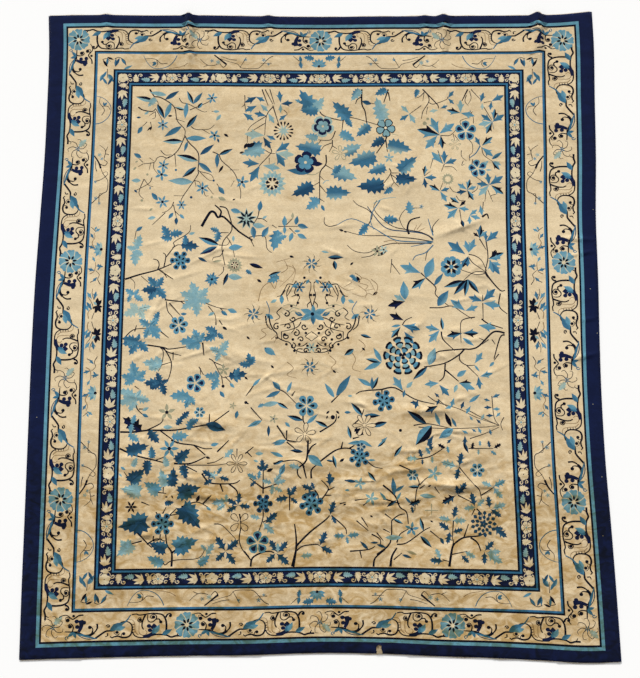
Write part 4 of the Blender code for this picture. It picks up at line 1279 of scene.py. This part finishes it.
# %% Corners: iris blades, bamboo and a fan of leaves
sprigs = Chart()
for side, end, up, inward in QUARTERS:
    lay(sprigs, long_sprigs, side, 0.0, up, "sprig", "sprig_end", SPRIG_HEIGHT)
    lay(sprigs, short_sprigs, end, 0.0, -inward, "sprig", "sprig_end", SPRIG_HEIGHT)
    corner_x, corner_y = corner_of(LINE["sprig"], side, end)

    def at(along_x, along_y):
        """Place so many centimetres in from the border's corner."""
        return corner_x + inward * along_x, corner_y - up * along_y

    for x, y, tip_x, tip_y, shape, dyes in [
            (6, 8, 6.4, 2.2, "lance", "m"), (6.4, 9, 3.2, 4, "lance", "k"),
            (11.6, 9, 11.6, 3, "lance", "mb"), (14, 3, 11.4, 9, "lance", "d"),
            (15, 3, 18.6, 8, "lance", "m"), (6, 2.4, 10.4, 4.2, "lance", "k"),
            (17, 10.6, 22.6, 8, "lance", "b"), (4, 14, 1.8, 19, "broad", "mt"),
            (7, 14, 10.6, 19.4, "broad", "mt"), (6, 12, 2.8, 17.6, "lance", "m"),
            (6.6, 21, 3.2, 16, "lance", "m"), (7, 21.4, 10, 16, "lance", "d")]:
        leaf(sprigs, shape, at(x, y), at(tip_x, tip_y), dyes)
    stroke(sprigs, "s", 0.5, [at(11, 3.4), at(14, 2.6), at(17.6, 5), at(18, 8)])
    stroke(sprigs, "s", 0.5, [at(3, 4), at(6, 3.4), at(8.4, 5.4)])
    stroke(sprigs, "s", 0.5, [at(6.4, 10.4), at(6.6, 14), at(6.4, 17)])

CHRYSANTHEMUMS = [("top", -0.5, 4.2), ("bottom", -1.5, 4.2)]
for end, middle, reach in CHRYSANTHEMUMS:
    unit = Chart()
    for tip_x, tip_y in ((-5, 7), (-4.6, 4.6), (-2.6, 2.8), (0, 2.2), (2.6, 2.8), (4.6, 4.6), (5, 7)):
        leaf(unit, "broad", (0.0, 7.6), (tip_x, tip_y), "bt")
    dot(unit, "k", (0.0, 7.8), 0.9)
    lay(sprigs, unit, end, middle, 1, "sprig", "sprig_end", SPRIG_HEIGHT)
print("sprig border:", len(sprigs.patches), "patches")

# %% [markdown]
# ## Wool, as a material
# Hand-spun wool never takes dye evenly. Every knot is a shade lighter or darker than the
# next, and each new batch of yarn starts a faint band along the weft that weavers call
# abrash. One node group makes both out of any dye colour, and every yarn of the carpet
# uses it with its own amounts.

# %% Short ways to place nodes
def fill_inputs(tree, made, inputs):
    """Give each named input of a node its value, or a link when it is another's socket."""
    for key, value in inputs.items():
        if isinstance(value, bpy.types.NodeSocket):
            tree.links.new(value, made.inputs[key])
        else:
            made.inputs[key].default_value = value


def node(tree, kind, inputs=None, **settings):
    """New node with its properties set and its inputs filled."""
    made = tree.nodes.new(kind)
    for key, value in settings.items():
        setattr(made, key, value)
    fill_inputs(tree, made, inputs or {})
    return made


def placed_noise(tree, coordinates, stretch, scale, detail, distortion=0.0):
    """Noise on coordinates that are stretched first; returns its value socket."""
    mapping = node(tree, "ShaderNodeMapping", {"Vector": coordinates, "Scale": stretch})
    return node(tree, "ShaderNodeTexNoise",
                {"Vector": mapping.outputs["Vector"], "Scale": scale, "Detail": detail,
                 "Distortion": distortion}).outputs["Fac"]


def ranged(tree, value, low, high, to_low, to_high):
    """Socket of a value that is mapped from one range to another."""
    return node(tree, "ShaderNodeMapRange",
                {"Value": value, "From Min": low, "From Max": high, "To Min": to_low,
                 "To Max": to_high}).outputs["Result"]


def spread(tree, value, amount, low=0.3, high=0.7):
    """Map noise about its middle to a factor of 1 minus or plus an amount's socket."""
    return node(tree, "ShaderNodeMath",
                {0: ranged(tree, value, low, high, -1.0, 1.0), 1: amount, 2: 1.0},
                operation="MULTIPLY_ADD").outputs["Value"]


def product(tree, first, second, **settings):
    """Socket of two values multiplied."""
    return node(tree, "ShaderNodeMath", {0: first, 1: second}, operation="MULTIPLY",
                **settings).outputs["Value"]


# %% The group for yarn: knot by knot, band by band, with soil and painted crease shade
YARN_INPUTS = {"Dye": (0.8, 0.8, 0.8, 1.0), "Knot Contrast": 0.08, "Abrash": 0.05, "Streaks": 0.05,
               "Soil": 0.0, "Soil Colour": (0.45, 0.27, 0.12, 1.0), "Knots per Metre": 260.0}


def make_yarn_group():
    """Dye in, aged wool out, with a height for the tufts' bump."""
    tree = bpy.data.node_groups.new("yarn ageing", "ShaderNodeTree")
    for name, default in YARN_INPUTS.items():
        kind = "NodeSocketColor" if isinstance(default, tuple) else "NodeSocketFloat"
        made = tree.interface.new_socket(name, in_out="INPUT", socket_type=kind)
        made.default_value = default
    for name, kind in (("Color", "NodeSocketColor"), ("Height", "NodeSocketFloat")):
        tree.interface.new_socket(name, in_out="OUTPUT", socket_type=kind)
    given = node(tree, "NodeGroupInput").outputs
    place = node(tree, "ShaderNodeTexCoord").outputs["Object"]

    knots = node(tree, "ShaderNodeTexVoronoi",
                 {"Vector": place, "Scale": given["Knots per Metre"]}, feature="F1")
    knot_value = node(tree, "ShaderNodeSeparateColor", {"Color": knots.outputs["Color"]})
    worn = spread(tree, knot_value.outputs["Red"], given["Knot Contrast"], 0.0, 1.0)
    bands = placed_noise(tree, place, (0.7, 14.0, 1.0), 1.0, 3.0)
    clouds = placed_noise(tree, place, (1.0, 1.0, 1.0), 4.5, 5.0)
    streaks = placed_noise(tree, place, (45.0, 120.0, 1.0), 1.0, 3.0)
    for noise_value, amount in ((bands, "Abrash"), (clouds, "Abrash"), (streaks, "Streaks")):
        worn = product(tree, worn, spread(tree, noise_value, given[amount]))
    toned = node(tree, "ShaderNodeVectorMath", {"Vector": given["Dye"], "Scale": worn},
                 operation="SCALE")

    # Soil input: soil, and on the pile also the painted shade along its creases; both darken the wool
    # towards the soil colour.
    patchy = placed_noise(tree, place, (1.0, 1.5, 1.0), 13.0, 10.0, 1.2)
    soil_and_shade_amount = product(tree, ranged(tree, patchy, 0.34, 0.66, 0.3, 1.65), given["Soil"], use_clamp=True)
    soiled_and_shaded = node(tree, "ShaderNodeMix",
                   {"Factor": soil_and_shade_amount, "A": toned.outputs["Vector"], "B": given["Soil Colour"]},
                   data_type="RGBA", blend_type="MULTIPLY")
    node(tree, "NodeGroupOutput",
         {"Color": soiled_and_shaded.outputs["Result"], "Height": knots.outputs["Distance"]})
    return tree


yarn_group = make_yarn_group()
print("yarn group:", len(yarn_group.nodes), "nodes")

# %% [markdown]
# The pile's dye is stored on the mesh, corner by corner, and so is how much soil and painted
# crease shade it carries. The materials below read both, send the dye through the yarn group,
# and use the tufts' height as bump. Cotton has no stored dye, and takes one plain colour
# through the same group.

# %% Materials of the carpet
# Soil colour, also used for the shade painted along the pile's creases
SOIL_COLOUR = (0.57, 0.46, 0.29, 1.0)
TUFT_HEIGHT = 0.0008          # metres that the bump stands for


def yarn_material(name, dye=None, knot_contrast=0.10, abrash=0.05, soil=0.0,
                  knots_per_metre=260.0, bump=0.5):
    """Principled wool or cotton whose colour passes through the yarn group."""
    material = bpy.data.materials.new(name)
    material.use_nodes = True
    tree = material.node_tree
    given = {"Knot Contrast": knot_contrast, "Abrash": abrash, "Soil Colour": SOIL_COLOUR,
             "Knots per Metre": knots_per_metre}
    if dye is None:
        given["Dye"] = node(tree, "ShaderNodeAttribute", attribute_name="wool_dye").outputs["Color"]
        # The pile's soil attribute holds soil and painted crease shade together
        given["Soil"] = node(tree, "ShaderNodeAttribute", attribute_name="soil").outputs["Fac"]
    else:
        given["Dye"], given["Soil"] = (*dye, 1.0), soil
    aged = node(tree, "ShaderNodeGroup", node_tree=yarn_group)
    fill_inputs(tree, aged, given)
    raised = node(tree, "ShaderNodeBump", {"Strength": bump, "Distance": TUFT_HEIGHT,
                                           "Height": aged.outputs["Height"]})
    fill_inputs(tree, tree.nodes["Principled BSDF"],
                {"Base Color": aged.outputs["Color"], "Normal": raised.outputs["Normal"],
                 "Roughness": 0.9, "Specular IOR Level": 0.06, "Sheen Weight": 0.02,
                 "Sheen Roughness": 0.6})
    return material


pile_wool = yarn_material("wool pile", abrash=0.08)
cotton = yarn_material("warp cotton", dye=(0.62, 0.52, 0.36), knot_contrast=0.15, abrash=0.10,
                       soil=0.4, knots_per_metre=420.0)
cord_wool = yarn_material("overcast wool", dye=DYE_LINEAR["n"], knot_contrast=0.2, abrash=0.15,
                          knots_per_metre=500.0, bump=0.3)
print("materials:", [m.name for m in (pile_wool, cotton, cord_wool)])

# %% [markdown]
# ## Cutting the motifs into the pile
# A constrained Delaunay triangulation, one that respects given edges, is all that inlay work
# needs. Every outline goes in as edges, together with loose points that let the surface follow
# the ripples. In the flat sheet that comes back no triangle crosses an outline, so each of
# them belongs to exactly one motif.
#
# Blender's function could also say which outline each face lies in, but that is slow for
# thousands of them. Testing the triangles' centres in numpy takes a few seconds.

# %% Inside or outside a closed outline, for many points at once
def inside(points, outline):
    """True for each point within the outline, by counting how often a ray crosses it."""
    x, y = points[:, 0], points[:, 1]
    within = np.zeros(len(points), dtype=bool)
    corners = np.asarray(outline)
    for (x0, y0), (x1, y1) in zip(corners, np.roll(corners, -1, axis=0)):
        if y0 != y1:
            crossing = (y0 > y) != (y1 > y)
            within ^= crossing & (x < (x1 - x0) * (y - y0) / (y1 - y0) + x0)
    return within


# %% Loose points: an even grid, with more of them across ripples and creases
GRID_STEP = 1.9               # cm
RIPPLE_STEP = 0.6


def loose_points():
    """Points in centimetres that let the sheet follow its own shape."""
    points = []
    rows_needed = int(2 * HALF_LENGTH * 100 / GRID_STEP) + 2
    for row in range(rows_needed):
        y = -HALF_LENGTH * 100 + row * GRID_STEP
        start = -HALF_WIDTH * 100 + (row % 2) * GRID_STEP / 2
        points += [(x, y) for x in np.arange(start, HALF_WIDTH * 100, GRID_STEP)]
    for ripple in RIPPLES:
        columns = np.arange(-ripple.half_width, ripple.half_width + 0.001, RIPPLE_STEP / 100)
        for y in np.arange(HALF_LENGTH - ripple.reach, HALF_LENGTH + 0.02, 0.02):
            points += [((ripple.across + c) * 100, y * 100) for c in columns]
    for crease in CREASES:
        run = Vector((crease.x_to - crease.x_from, crease.y_to - crease.y_from))
        side = Vector((-run.y, run.x)).normalized() * crease.half_width
        count = int(run.length / 0.015)
        for i in range(count + 1):
            middle = Vector((crease.x_from, crease.y_from)) + run * (i / count)
            points += [tuple((middle + side * share) * 100) for share in (-1, -0.5, 0, 0.5, 1)]
    return np.array(points)


LOOSE = loose_points()
print(len(LOOSE), "loose points")

# %% [markdown]
# Soil and wear aren't dye. The ground darkens towards the near end, and a little towards the far
# end. A few stains lie in the field, and the long marks along the main creases are partly soil
# and partly painted shade on each crease's near side. All of it is kept apart from the dye as
# one number per point.

# %% Soiling and painted crease shade over the carpet, from 0 for none to 1
Mark = namedtuple("Mark", "x y radius_x radius_y strength")
STAINS_AND_CREASE_SHADE = [
    # Stains, except the long thin marks at (-65, -67), (60, -58), (60, -84), (-56, -107) and (20, -92),
    # which lie along the main creases and are partly soil and partly painted shade on their near sides.
    Mark(-20, 137, 5, 3, 0.5), Mark(-19, 79, 4, 3, 0.3), Mark(-65, -67, 18, 7, 0.30),
    Mark(60, -58, 22, 6, 0.30), Mark(60, -84, 22, 7, 0.25), Mark(-56, -107, 26, 5, 0.35),
    Mark(-10, -117, 14, 6, 0.15), Mark(95, -118, 20, 10, 0.15), Mark(20, -92, 26, 6, 0.20),
    Mark(-8, 28, 30, 14, 0.16), Mark(12, -16, 30, 14, 0.14), Mark(-36, 14, 12, 20, 0.12),
    Mark(-5, 5, 60, 45, 0.10),
    # Darker patches along the near end and the far end.
    Mark(-150, -190, 20, 8, 0.20), Mark(40, -182, 50, 6, 0.20), Mark(110, -186, 30, 7, 0.20),
    Mark(-100, 176, 30, 9, 0.20), Mark(-60, 168, 40, 6, 0.20), Mark(0, 192, 60, 6, 0.15),
]


def soil_and_crease_shade_at(x, y):
    """Soiling and painted crease shade at points of the plan, in centimetres: most in the near third."""
    # Darker towards the near end, and a little darker again from 60 cm towards the far end.
    soil = (0.11 + 0.17 * np.clip(-y / 70.0, 0.0, 1.0) + 0.34 * np.clip((-70.0 - y) / 40.0, 0.0, 1.0)
            + 0.14 * np.clip((y - 60.0) / 60.0, 0.0, 1.0))
    for mark in STAINS_AND_CREASE_SHADE:
        distance = ((x - mark.x) / mark.radius_x) ** 2 + ((y - mark.y) / mark.radius_y) ** 2
        soil += mark.strength * np.exp(-distance)
    return np.clip(soil, 0.0, 1.0)


# %% A new object in the scene, and a piece of the carpet
def in_scene(name, data):
    """New object in the scene's own collection."""
    made = bpy.data.objects.new(name, data)
    bpy.context.scene.collection.objects.link(made)
    return made


def add_piece(name, points, faces, material):
    """Smooth object from points and faces, riding on the carpet."""
    mesh = bpy.data.meshes.new(name)
    mesh.from_pydata([tuple(p) for p in points], [], faces)
    mesh.polygons.foreach_set("use_smooth", [True] * len(mesh.polygons))
    mesh.materials.append(material)
    piece = in_scene(name, mesh)
    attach(piece, "root")
    print(f"{name}: {len(mesh.vertices)} points, {len(mesh.polygons)} faces")
    return piece


# %% One band of the pile: triangulate, choose each triangle's motif, lift onto the sheet
LIP_HEIGHT = 0.0055           # the pile rounds down to this at the carpet's own edge


def cut_band(outer, inner, patches):
    """Triangles of a band and the index of the patch that each lies in, 0 being ground."""
    rims = [ring(outer)] + ([ring(inner)] if inner else [])
    loops = rims + [patch.outline for patch in patches]
    kept = LOOSE[inside(LOOSE, rims[0])]
    if inner:
        kept = kept[~inside(kept, rims[1])]
    points, edges = [], []
    for loop in loops:
        start = len(points)
        points += loop
        edges += [(start + i, start + (i + 1) % len(loop)) for i in range(len(loop))]
    vectors = [Vector(p) for p in points] + [Vector(p) for p in kept.tolist()]
    result = geometry.delaunay_2d_cdt(vectors, edges, [], 0, 1e-4, False)
    flat = np.array([tuple(v) for v in result[0]])
    triangles = np.array([face for face in result[2] if len(face) == 3])
    centres = flat[triangles].mean(axis=1)
    within = inside(centres, rims[0])
    if inner:
        within &= ~inside(centres, rims[1])
    triangles, centres = triangles[within], centres[within]

    order = np.argsort(centres[:, 0])
    sorted_x = centres[order, 0]
    owner = np.zeros(len(triangles), dtype=int)
    for number, patch in enumerate(patches, start=1):
        box = np.asarray(patch.outline)
        low, high = box.min(axis=0), box.max(axis=0)
        first, last = np.searchsorted(sorted_x, (low[0], high[0]))
        near = order[first:last]
        near = near[(centres[near, 1] > low[1]) & (centres[near, 1] < high[1])]
        owner[near[inside(centres[near], patch.outline)]] = number
    return flat, triangles, owner


def corner_dyes(flat, triangles, owner, patches, ground):
    """Linear colour of every triangle's corner, faded where its patch asks for it."""
    dyes = np.tile(np.array(DYE_LINEAR[ground]), (len(triangles), 3, 1))
    order = np.argsort(owner, kind="stable")
    limits = np.searchsorted(owner[order], np.arange(1, len(patches) + 2))
    for index, patch in enumerate(patches):
        faces = order[limits[index]:limits[index + 1]]
        if not len(faces):
            continue
        first, last = np.array(DYE_LINEAR[patch.start_dye]), np.array(DYE_LINEAR[patch.end_dye])
        run = np.subtract(patch.end, patch.start)
        share = ((flat[triangles[faces]] - np.asarray(patch.start)) @ run) / run.dot(run)
        share = np.clip(share, 0.0, 1.0)[..., None]
        dyes[faces] = first + (last - first) * share
    return dyes.reshape(-1, 3)


def make_pile(name, outer, inner, ground, patches, holes=()):
    """Pile of one band, with its dyes, its soil and its painted crease shade stored on the mesh."""
    patches = list(patches) + [Patch(hole, "k", "k", (0, 0), (0, 1)) for hole in holes]
    flat, triangles, owner = cut_band(outer, inner, patches)
    solid = owner <= len(patches) - len(holes)
    triangles, owner = triangles[solid], owner[solid]
    used, triangles = np.unique(triangles, return_inverse=True)
    flat, triangles = flat[used], triangles.reshape(-1, 3)
    dyes = corner_dyes(flat, triangles, owner, patches, ground)

    x, y = flat[:, 0] / 100, flat[:, 1] / 100
    height = np.full(len(flat), BODY_THICKNESS)
    if outer == "edge":
        height[~inside(flat, ring("lip"))] = LIP_HEIGHT
    piece = add_piece(name, np.column_stack((x, y, lift_at(x, y) + height)), triangles.tolist(),
                      pile_wool)
    rgba = np.column_stack((dyes, np.ones(len(dyes))))
    stored = piece.data.attributes
    stored.new("wool_dye", "FLOAT_COLOR", "CORNER").data.foreach_set("color", rgba.ravel())
    # The soil attribute holds soil and painted crease shade together
    soil = soil_and_crease_shade_at(flat[:, 0], flat[:, 1])
    stored.new("soil", "FLOAT", "POINT").data.foreach_set("value", soil)
    return piece


def line_patches(*fills):
    """Whole rings of plain dye, each from one line inwards: name and dye by turns."""
    return [Patch(ring(name), dye, dye, (0, 0), (0, 1)) for name, dye in zip(fills[::2], fills[1::2])]

# %% The bands of pile, from the guard in to the field
guard_marks = Chart()
WORN_SPOTS = [(168, 20), (171, -8), (166.5, -52), (170, -96), (169, -131), (172, 71), (-172, -60)]
for spot in WORN_SPOTS:
    dot(guard_marks, "g", spot, 0.3, 6)
TORN_EDGE = [(33.0, -201.0), (33.4, -197.6), (33.0, -195.6), (33.9, -194.4), (35.2, -193.8),
             (36.4, -194.6), (36.0, -196.0), (36.8, -197.4), (36.6, -201.0)]

pile = {
    "guard": make_pile("pile_guard", "edge", "vine", "n",
                       line_patches("turquoise", "q", "turquoise_end", "k") + guard_marks.patches,
                       holes=[TORN_EDGE]),
    "vine": make_pile("pile_vine_border", "vine", "sprig", "c",
                      line_patches("vine_end", "k", "thin_blue", "l") + vine.patches),
    "sprig": make_pile("pile_sprig_border", "sprig", "leaf", "c",
                       line_patches("sprig_end", "k", "outer_blue", "l", "outer_blue_end", "k")
                       + sprigs.patches),
    "leaf": make_pile("pile_leaf_border", "leaf", "field", "n",
                      line_patches("leaf_end", "k", "inner_blue", "l", "inner_blue_end", "k")
                      + leaf_border.patches),
    "field": make_pile("pile_field", "field", None, "c", field.patches),
}

# %% [markdown]
# Seen from the side, the outermost row of knots bends over the edge and hides the cotton
# under it. A wall of the same wool, extruded down from the guard's rounded rim, does that.

# %% Turn the guard's rim down over the edge
def turn_down_rim(piece, drop):
    """Extrude the guard's outer rim down, leaving its inner rim as it is."""
    mesh = bmesh.new()
    mesh.from_mesh(piece.data)
    rim = [edge for edge in mesh.edges if edge.is_boundary]
    middles = np.array([tuple((edge.verts[0].co + edge.verts[1].co) * 50)[:2] for edge in rim])
    outermost = ~inside(middles, ring("lip"))
    outer_rim = [edge for edge, chosen in zip(rim, outermost) if chosen]
    grown = bmesh.ops.extrude_edge_only(mesh, edges=outer_rim)
    lowered = [item for item in grown["geom"] if isinstance(item, bmesh.types.BMVert)]
    bmesh.ops.translate(mesh, verts=lowered, vec=(0.0, 0.0, -drop))
    mesh.to_mesh(piece.data)
    mesh.free()
    return len(outer_rim)


RIM_DROP = 0.0045
print("rim turned down along", turn_down_rim(pile["guard"], RIM_DROP), "edges")

# %% [markdown]
# ## The foundation
# Under the pile lies a plain weave of cotton that shows only where wool is lost. It is a
# thin closed sheet on the same ripples, with its columns drawn together where a ripple
# stands.

# %% Stations that draw together at the ripples
def stations(half, step, close_spans):
    """Places from one edge to the other, close together within the given spans."""
    places = set(np.arange(-half, half, step).round(4)) | {half}
    for start, stop, close_step in close_spans:
        places |= set(np.arange(start, stop, close_step).round(4))
    return np.array(sorted(p for p in places if -half <= p <= half))


COLUMNS = stations(HALF_WIDTH, 0.030, [(r.across - r.half_width, r.across + r.half_width, 0.006)
                                       for r in RIPPLES])
ROWS = stations(HALF_LENGTH, 0.030, [])


def sheet_xy(across, along):
    """Plan position in metres of nominal places."""
    left, right = read_table(SIDES, along, "left"), read_table(SIDES, along, "right")
    bottom, top = read_table(ENDS, across, "bottom"), read_table(ENDS, across, "top")
    x = left + (right - left) * (across + HALF_WIDTH) / (2 * HALF_WIDTH)
    y = bottom + (top - bottom) * (along + HALF_LENGTH) / (2 * HALF_LENGTH)
    return x + SHIFT_X, y + SHIFT_Y


def grid_faces(rows, columns, start=0, flip=False):
    """Quads of a grid of points that were added row by row."""
    faces = []
    for r in range(rows - 1):
        for c in range(columns - 1):
            i = start + r * columns + c
            quad = (i, i + 1, i + columns + 1, i + columns)
            faces.append(quad[::-1] if flip else quad)
    return faces


# %% The woven sheet
FOUNDATION_THICKNESS = 0.003
EDGE_INSET = 0.9985           # the wool wraps the cotton's edges
CLEAR_OF_MODEL = 0.0002       # keeps the weave off the model's own underside

across, along = (grid.ravel() for grid in np.meshgrid(COLUMNS * EDGE_INSET, ROWS * EDGE_INSET))
x, y = sheet_xy(across, along)
lift = lift_at(x, y)
under = np.column_stack((x, y, lift + CLEAR_OF_MODEL))
over = under + (0.0, 0.0, FOUNDATION_THICKNESS)
n_rows, n_columns = len(ROWS), len(COLUMNS)
loop = (list(range(n_columns)) + [r * n_columns + n_columns - 1 for r in range(1, n_rows)]
        + [(n_rows - 1) * n_columns + c for c in range(n_columns - 2, -1, -1)]
        + [r * n_columns for r in range(n_rows - 2, 0, -1)])
walls = [(a, b, b + len(under), a + len(under)) for a, b in zip(loop, loop[1:] + loop[:1])]
foundation = add_piece("foundation", np.vstack((under, over)),
                       grid_faces(n_rows, n_columns, flip=True)
                       + grid_faces(n_rows, n_columns, len(under)) + walls,
                       cotton)
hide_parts("carpet_body")

# %% [markdown]
# ## Where the wool is lost
# At the near edge a bite of pile has gone. The warps lie bare across the gap, and what is
# left of the knots stands round them in pale stubs.

# %% Tubes of yarn along short paths
def add_tubes(points, faces, path, radii, sides=5):
    """Append one tapering tube along a path of points."""
    start = len(points)
    for i, (place, radius) in enumerate(zip(path, radii)):
        ahead = Vector(path[min(i + 1, len(path) - 1)]) - Vector(path[max(i - 1, 0)])
        ahead.normalize()
        side = ahead.cross((0.0, 0.0, 1.0)).normalized()
        rise = side.cross(ahead)
        for s in range(sides):
            angle = 2 * math.pi * s / sides
            points.append(Vector(place) + side * (radius * math.cos(angle))
                          + rise * (radius * math.sin(angle)))
    for i in range(len(path) - 1):
        for s in range(sides):
            a, b = start + i * sides + s, start + i * sides + (s + 1) % sides
            faces.append((a, b, b + sides, a + sides))
    faces.append(tuple(start + s for s in range(sides))[::-1])
    faces.append(tuple(start + (len(path) - 1) * sides + s for s in range(sides)))


def on_sheet(x, y, height):
    """Point over the sheet's underside at a plan position in metres."""
    return Vector((x, y, float(lift_at(np.array([x]), np.array([y]))[0]) + height))


BARE_WARPS = 9
FIRST_WARP = 0.3325           # metres across
WARP_SPACING = 0.0042
BARE_FROM, BARE_TO = -1.994, -1.940


def make_bare_warps():
    """Warps and knot stubs in the torn place at the near edge."""
    points, faces = [], []
    for i in range(BARE_WARPS):
        x = FIRST_WARP + WARP_SPACING * i
        reach = BARE_TO + 0.004 * math.sin(2.3 * i)
        path = [on_sheet(x + 0.0008 * math.sin(i + k), y, 0.0045 + 0.001 * math.sin(2 * k + i))
                for k, y in enumerate(np.linspace(BARE_FROM - 0.003 * (i % 3), reach, 6))]
        add_tubes(points, faces, path, [0.0008, 0.0011, 0.0011, 0.0011, 0.0011, 0.0008])
        for k in range(8):
            foot = on_sheet(x + 0.0016, -1.988 + 0.0062 * k + 0.0015 * (i % 2), 0.003)
            lean = Vector((0.0012 * math.sin(3 * k + i), 0.0015 * math.cos(5 * k + 2 * i), 0.0035))
            add_tubes(points, faces, [foot, foot + lean], [0.0013, 0.0007])
    return add_piece("bare_warps", points, faces, cotton)


bare_warps = make_bare_warps()

# %% [markdown]
# ## Selvedges and fringe
# Each long side is overcast: wool is wound round and round the outermost warps into a firm
# cord. The cord here is a tube whose rings swell and shrink with the winding. The short
# ends keep only a worn comb of warp ends, cream, uneven and a centimetre long at most.

# %% Overcast cords
WINDING_PITCH = 0.0032
CORD_SIDES = 8


def make_cord(name, side, way):
    """Cord along a long side, ringed by its winding; way is -1 for left, 1 for right."""
    radius = CORD_DIAMETER / 2
    along = np.arange(-HALF_LENGTH, HALF_LENGTH, WINDING_PITCH / 2)
    x, y = sheet_xy(np.full_like(along, way * HALF_WIDTH), along)
    lift = lift_at(x, y)
    swell = np.where(np.arange(len(along)) % 2 == 0, 1.0, 0.86)
    swell[0] = swell[-1] = 0.5
    angles = np.arange(CORD_SIDES) * 2 * np.pi / CORD_SIDES
    points = np.empty((len(along), CORD_SIDES, 3))
    points[..., 0] = (x + way * (PIECE_GAP + radius))[:, None] + radius * np.outer(swell, np.cos(angles))
    points[..., 1] = y[:, None] + 0.0006 * np.cos(angles)
    points[..., 2] = (lift + radius)[:, None] + radius * np.outer(swell, np.sin(angles))
    faces = [(i * CORD_SIDES + s, i * CORD_SIDES + (s + 1) % CORD_SIDES,
              (i + 1) * CORD_SIDES + (s + 1) % CORD_SIDES, (i + 1) * CORD_SIDES + s)
             for i in range(len(along) - 1) for s in range(CORD_SIDES)]
    faces.append(tuple(range(CORD_SIDES))[::-1])
    faces.append(tuple((len(along) - 1) * CORD_SIDES + s for s in range(CORD_SIDES)))
    cord = add_piece(name, points.reshape(-1, 3), faces, cord_wool)
    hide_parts(side)
    return cord


cords = [make_cord("overcast_left", "selvedge_left", -1),
         make_cord("overcast_right", "selvedge_right", 1)]

# %% Warp ends
WARP_PITCH = 0.0045
COMB_MARGIN = 0.004           # from the carpet's side to the first warp end


def make_warp_ends(name, node_name, end):
    """Comb of warp ends along a short end: -1 for the near end, 1 for the far one."""
    points, faces = [], []
    count = int(2 * (HALF_WIDTH - COMB_MARGIN) / WARP_PITCH)
    for i in range(count):
        across = -HALF_WIDTH + COMB_MARGIN + WARP_PITCH * i
        wear = noise.noise((across * 9.0, end * 4.0, 0.0))
        length = FRINGE_ROOT + FRINGE_LENGTH * min(max(0.45 + 0.8 * wear, 0.08), 0.95)
        x, y = sheet_xy(np.array([across]), np.array([end * HALF_LENGTH]))
        lift = float(lift_at(x, y)[0])
        sway = 0.0025 * noise.noise((across * 60.0, end * 9.0, 2.0))
        root = Vector((float(x[0]), float(y[0]) - end * 0.002, lift + 0.0022))
        path = [root, root + Vector((sway * 0.3, end * length * 0.5, 0.0004)),
                root + Vector((sway, end * length, -0.0008))]
        add_tubes(points, faces, path, [0.0011, 0.0012, 0.0007], 4)
    comb = add_piece(name, points, faces, cotton)
    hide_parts(node_name)
    return comb


combs = [make_warp_ends("warp_ends_far", "fringe_top", 1),
         make_warp_ends("warp_ends_near", "fringe_bottom", -1)]

# %% [markdown]
# ## Floor, light and camera
# The carpet lies on a very pale floor. A soft slanting light from beyond its far end gives
# each ripple and crease a bright side and a soft shadow, and an even sky keeps the shadows
# open. Unlike an area lamp, a sun lights a four metre carpet evenly from end to end.

# %% The floor
FLOOR_HALF = 9.0


def make_floor():
    """Large pale floor, a hair under the carpet."""
    mesh = bpy.data.meshes.new("floor")
    corners = [(-FLOOR_HALF, -FLOOR_HALF), (FLOOR_HALF, -FLOOR_HALF), (FLOOR_HALF, FLOOR_HALF),
               (-FLOOR_HALF, FLOOR_HALF)]
    mesh.from_pydata([(x, y, -0.0005) for x, y in corners], [], [(0, 1, 2, 3)])
    material = bpy.data.materials.new("pale floor")
    material.use_nodes = True
    fill_inputs(material.node_tree, material.node_tree.nodes["Principled BSDF"],
                {"Base Color": (0.97, 0.97, 0.97, 1.0), "Roughness": 0.8, "Specular IOR Level": 0.1})
    mesh.materials.append(material)
    floor = in_scene("floor", mesh)
    return floor


floor = make_floor()

# %% Light: one broad slanting sun, and the sky of the studio around it
SUN_HEIGHT = math.radians(25.0)       # above the floor
SUN_TURN = math.radians(12.0)         # to the left of straight beyond the far end
SUN_STRENGTH = 4.1
SKY_STRENGTH = 0.46

sun_data = bpy.data.lights.new("key_light", "SUN")
sun_data.energy = SUN_STRENGTH
sun_data.angle = math.radians(8.0)
sun_data.color = (1.0, 0.99, 0.97)
sun = in_scene("key_light", sun_data)
sun.location = (-1.0, 6.0, 4.0)
toward = Vector((-math.sin(SUN_TURN) * math.cos(SUN_HEIGHT), math.cos(SUN_TURN) * math.cos(SUN_HEIGHT),
                 math.sin(SUN_HEIGHT)))
sun.rotation_euler = toward.to_track_quat("Z", "Y").to_euler()

world = bpy.data.worlds.new("studio")
world.use_nodes = True
fill_inputs(world.node_tree, world.node_tree.nodes["Background"],
            {"Color": (1.0, 1.0, 1.0, 1.0), "Strength": SKY_STRENGTH})
bpy.context.scene.world = world

# %% Camera
CAMERA_PLACE = (0.002, -1.302, 6.677)
CAMERA_TILT = math.radians(10.08)     # forward from looking straight down
LENS = 58.4                           # millimetres, on 36 mm along the taller side

camera_data = bpy.data.cameras.new("camera")
camera_data.lens = LENS
camera_data.sensor_width = 36.0
camera_data.clip_end = 60.0
camera = in_scene("camera", camera_data)
camera.location = CAMERA_PLACE
camera.rotation_euler = (CAMERA_TILT, 0.0, 0.0)

scene = bpy.context.scene
scene.camera = camera
scene.view_settings.view_transform = "Standard"
scene.view_settings.look = "None"
print("camera looks down", round(90 - math.degrees(CAMERA_TILT)), "degrees")
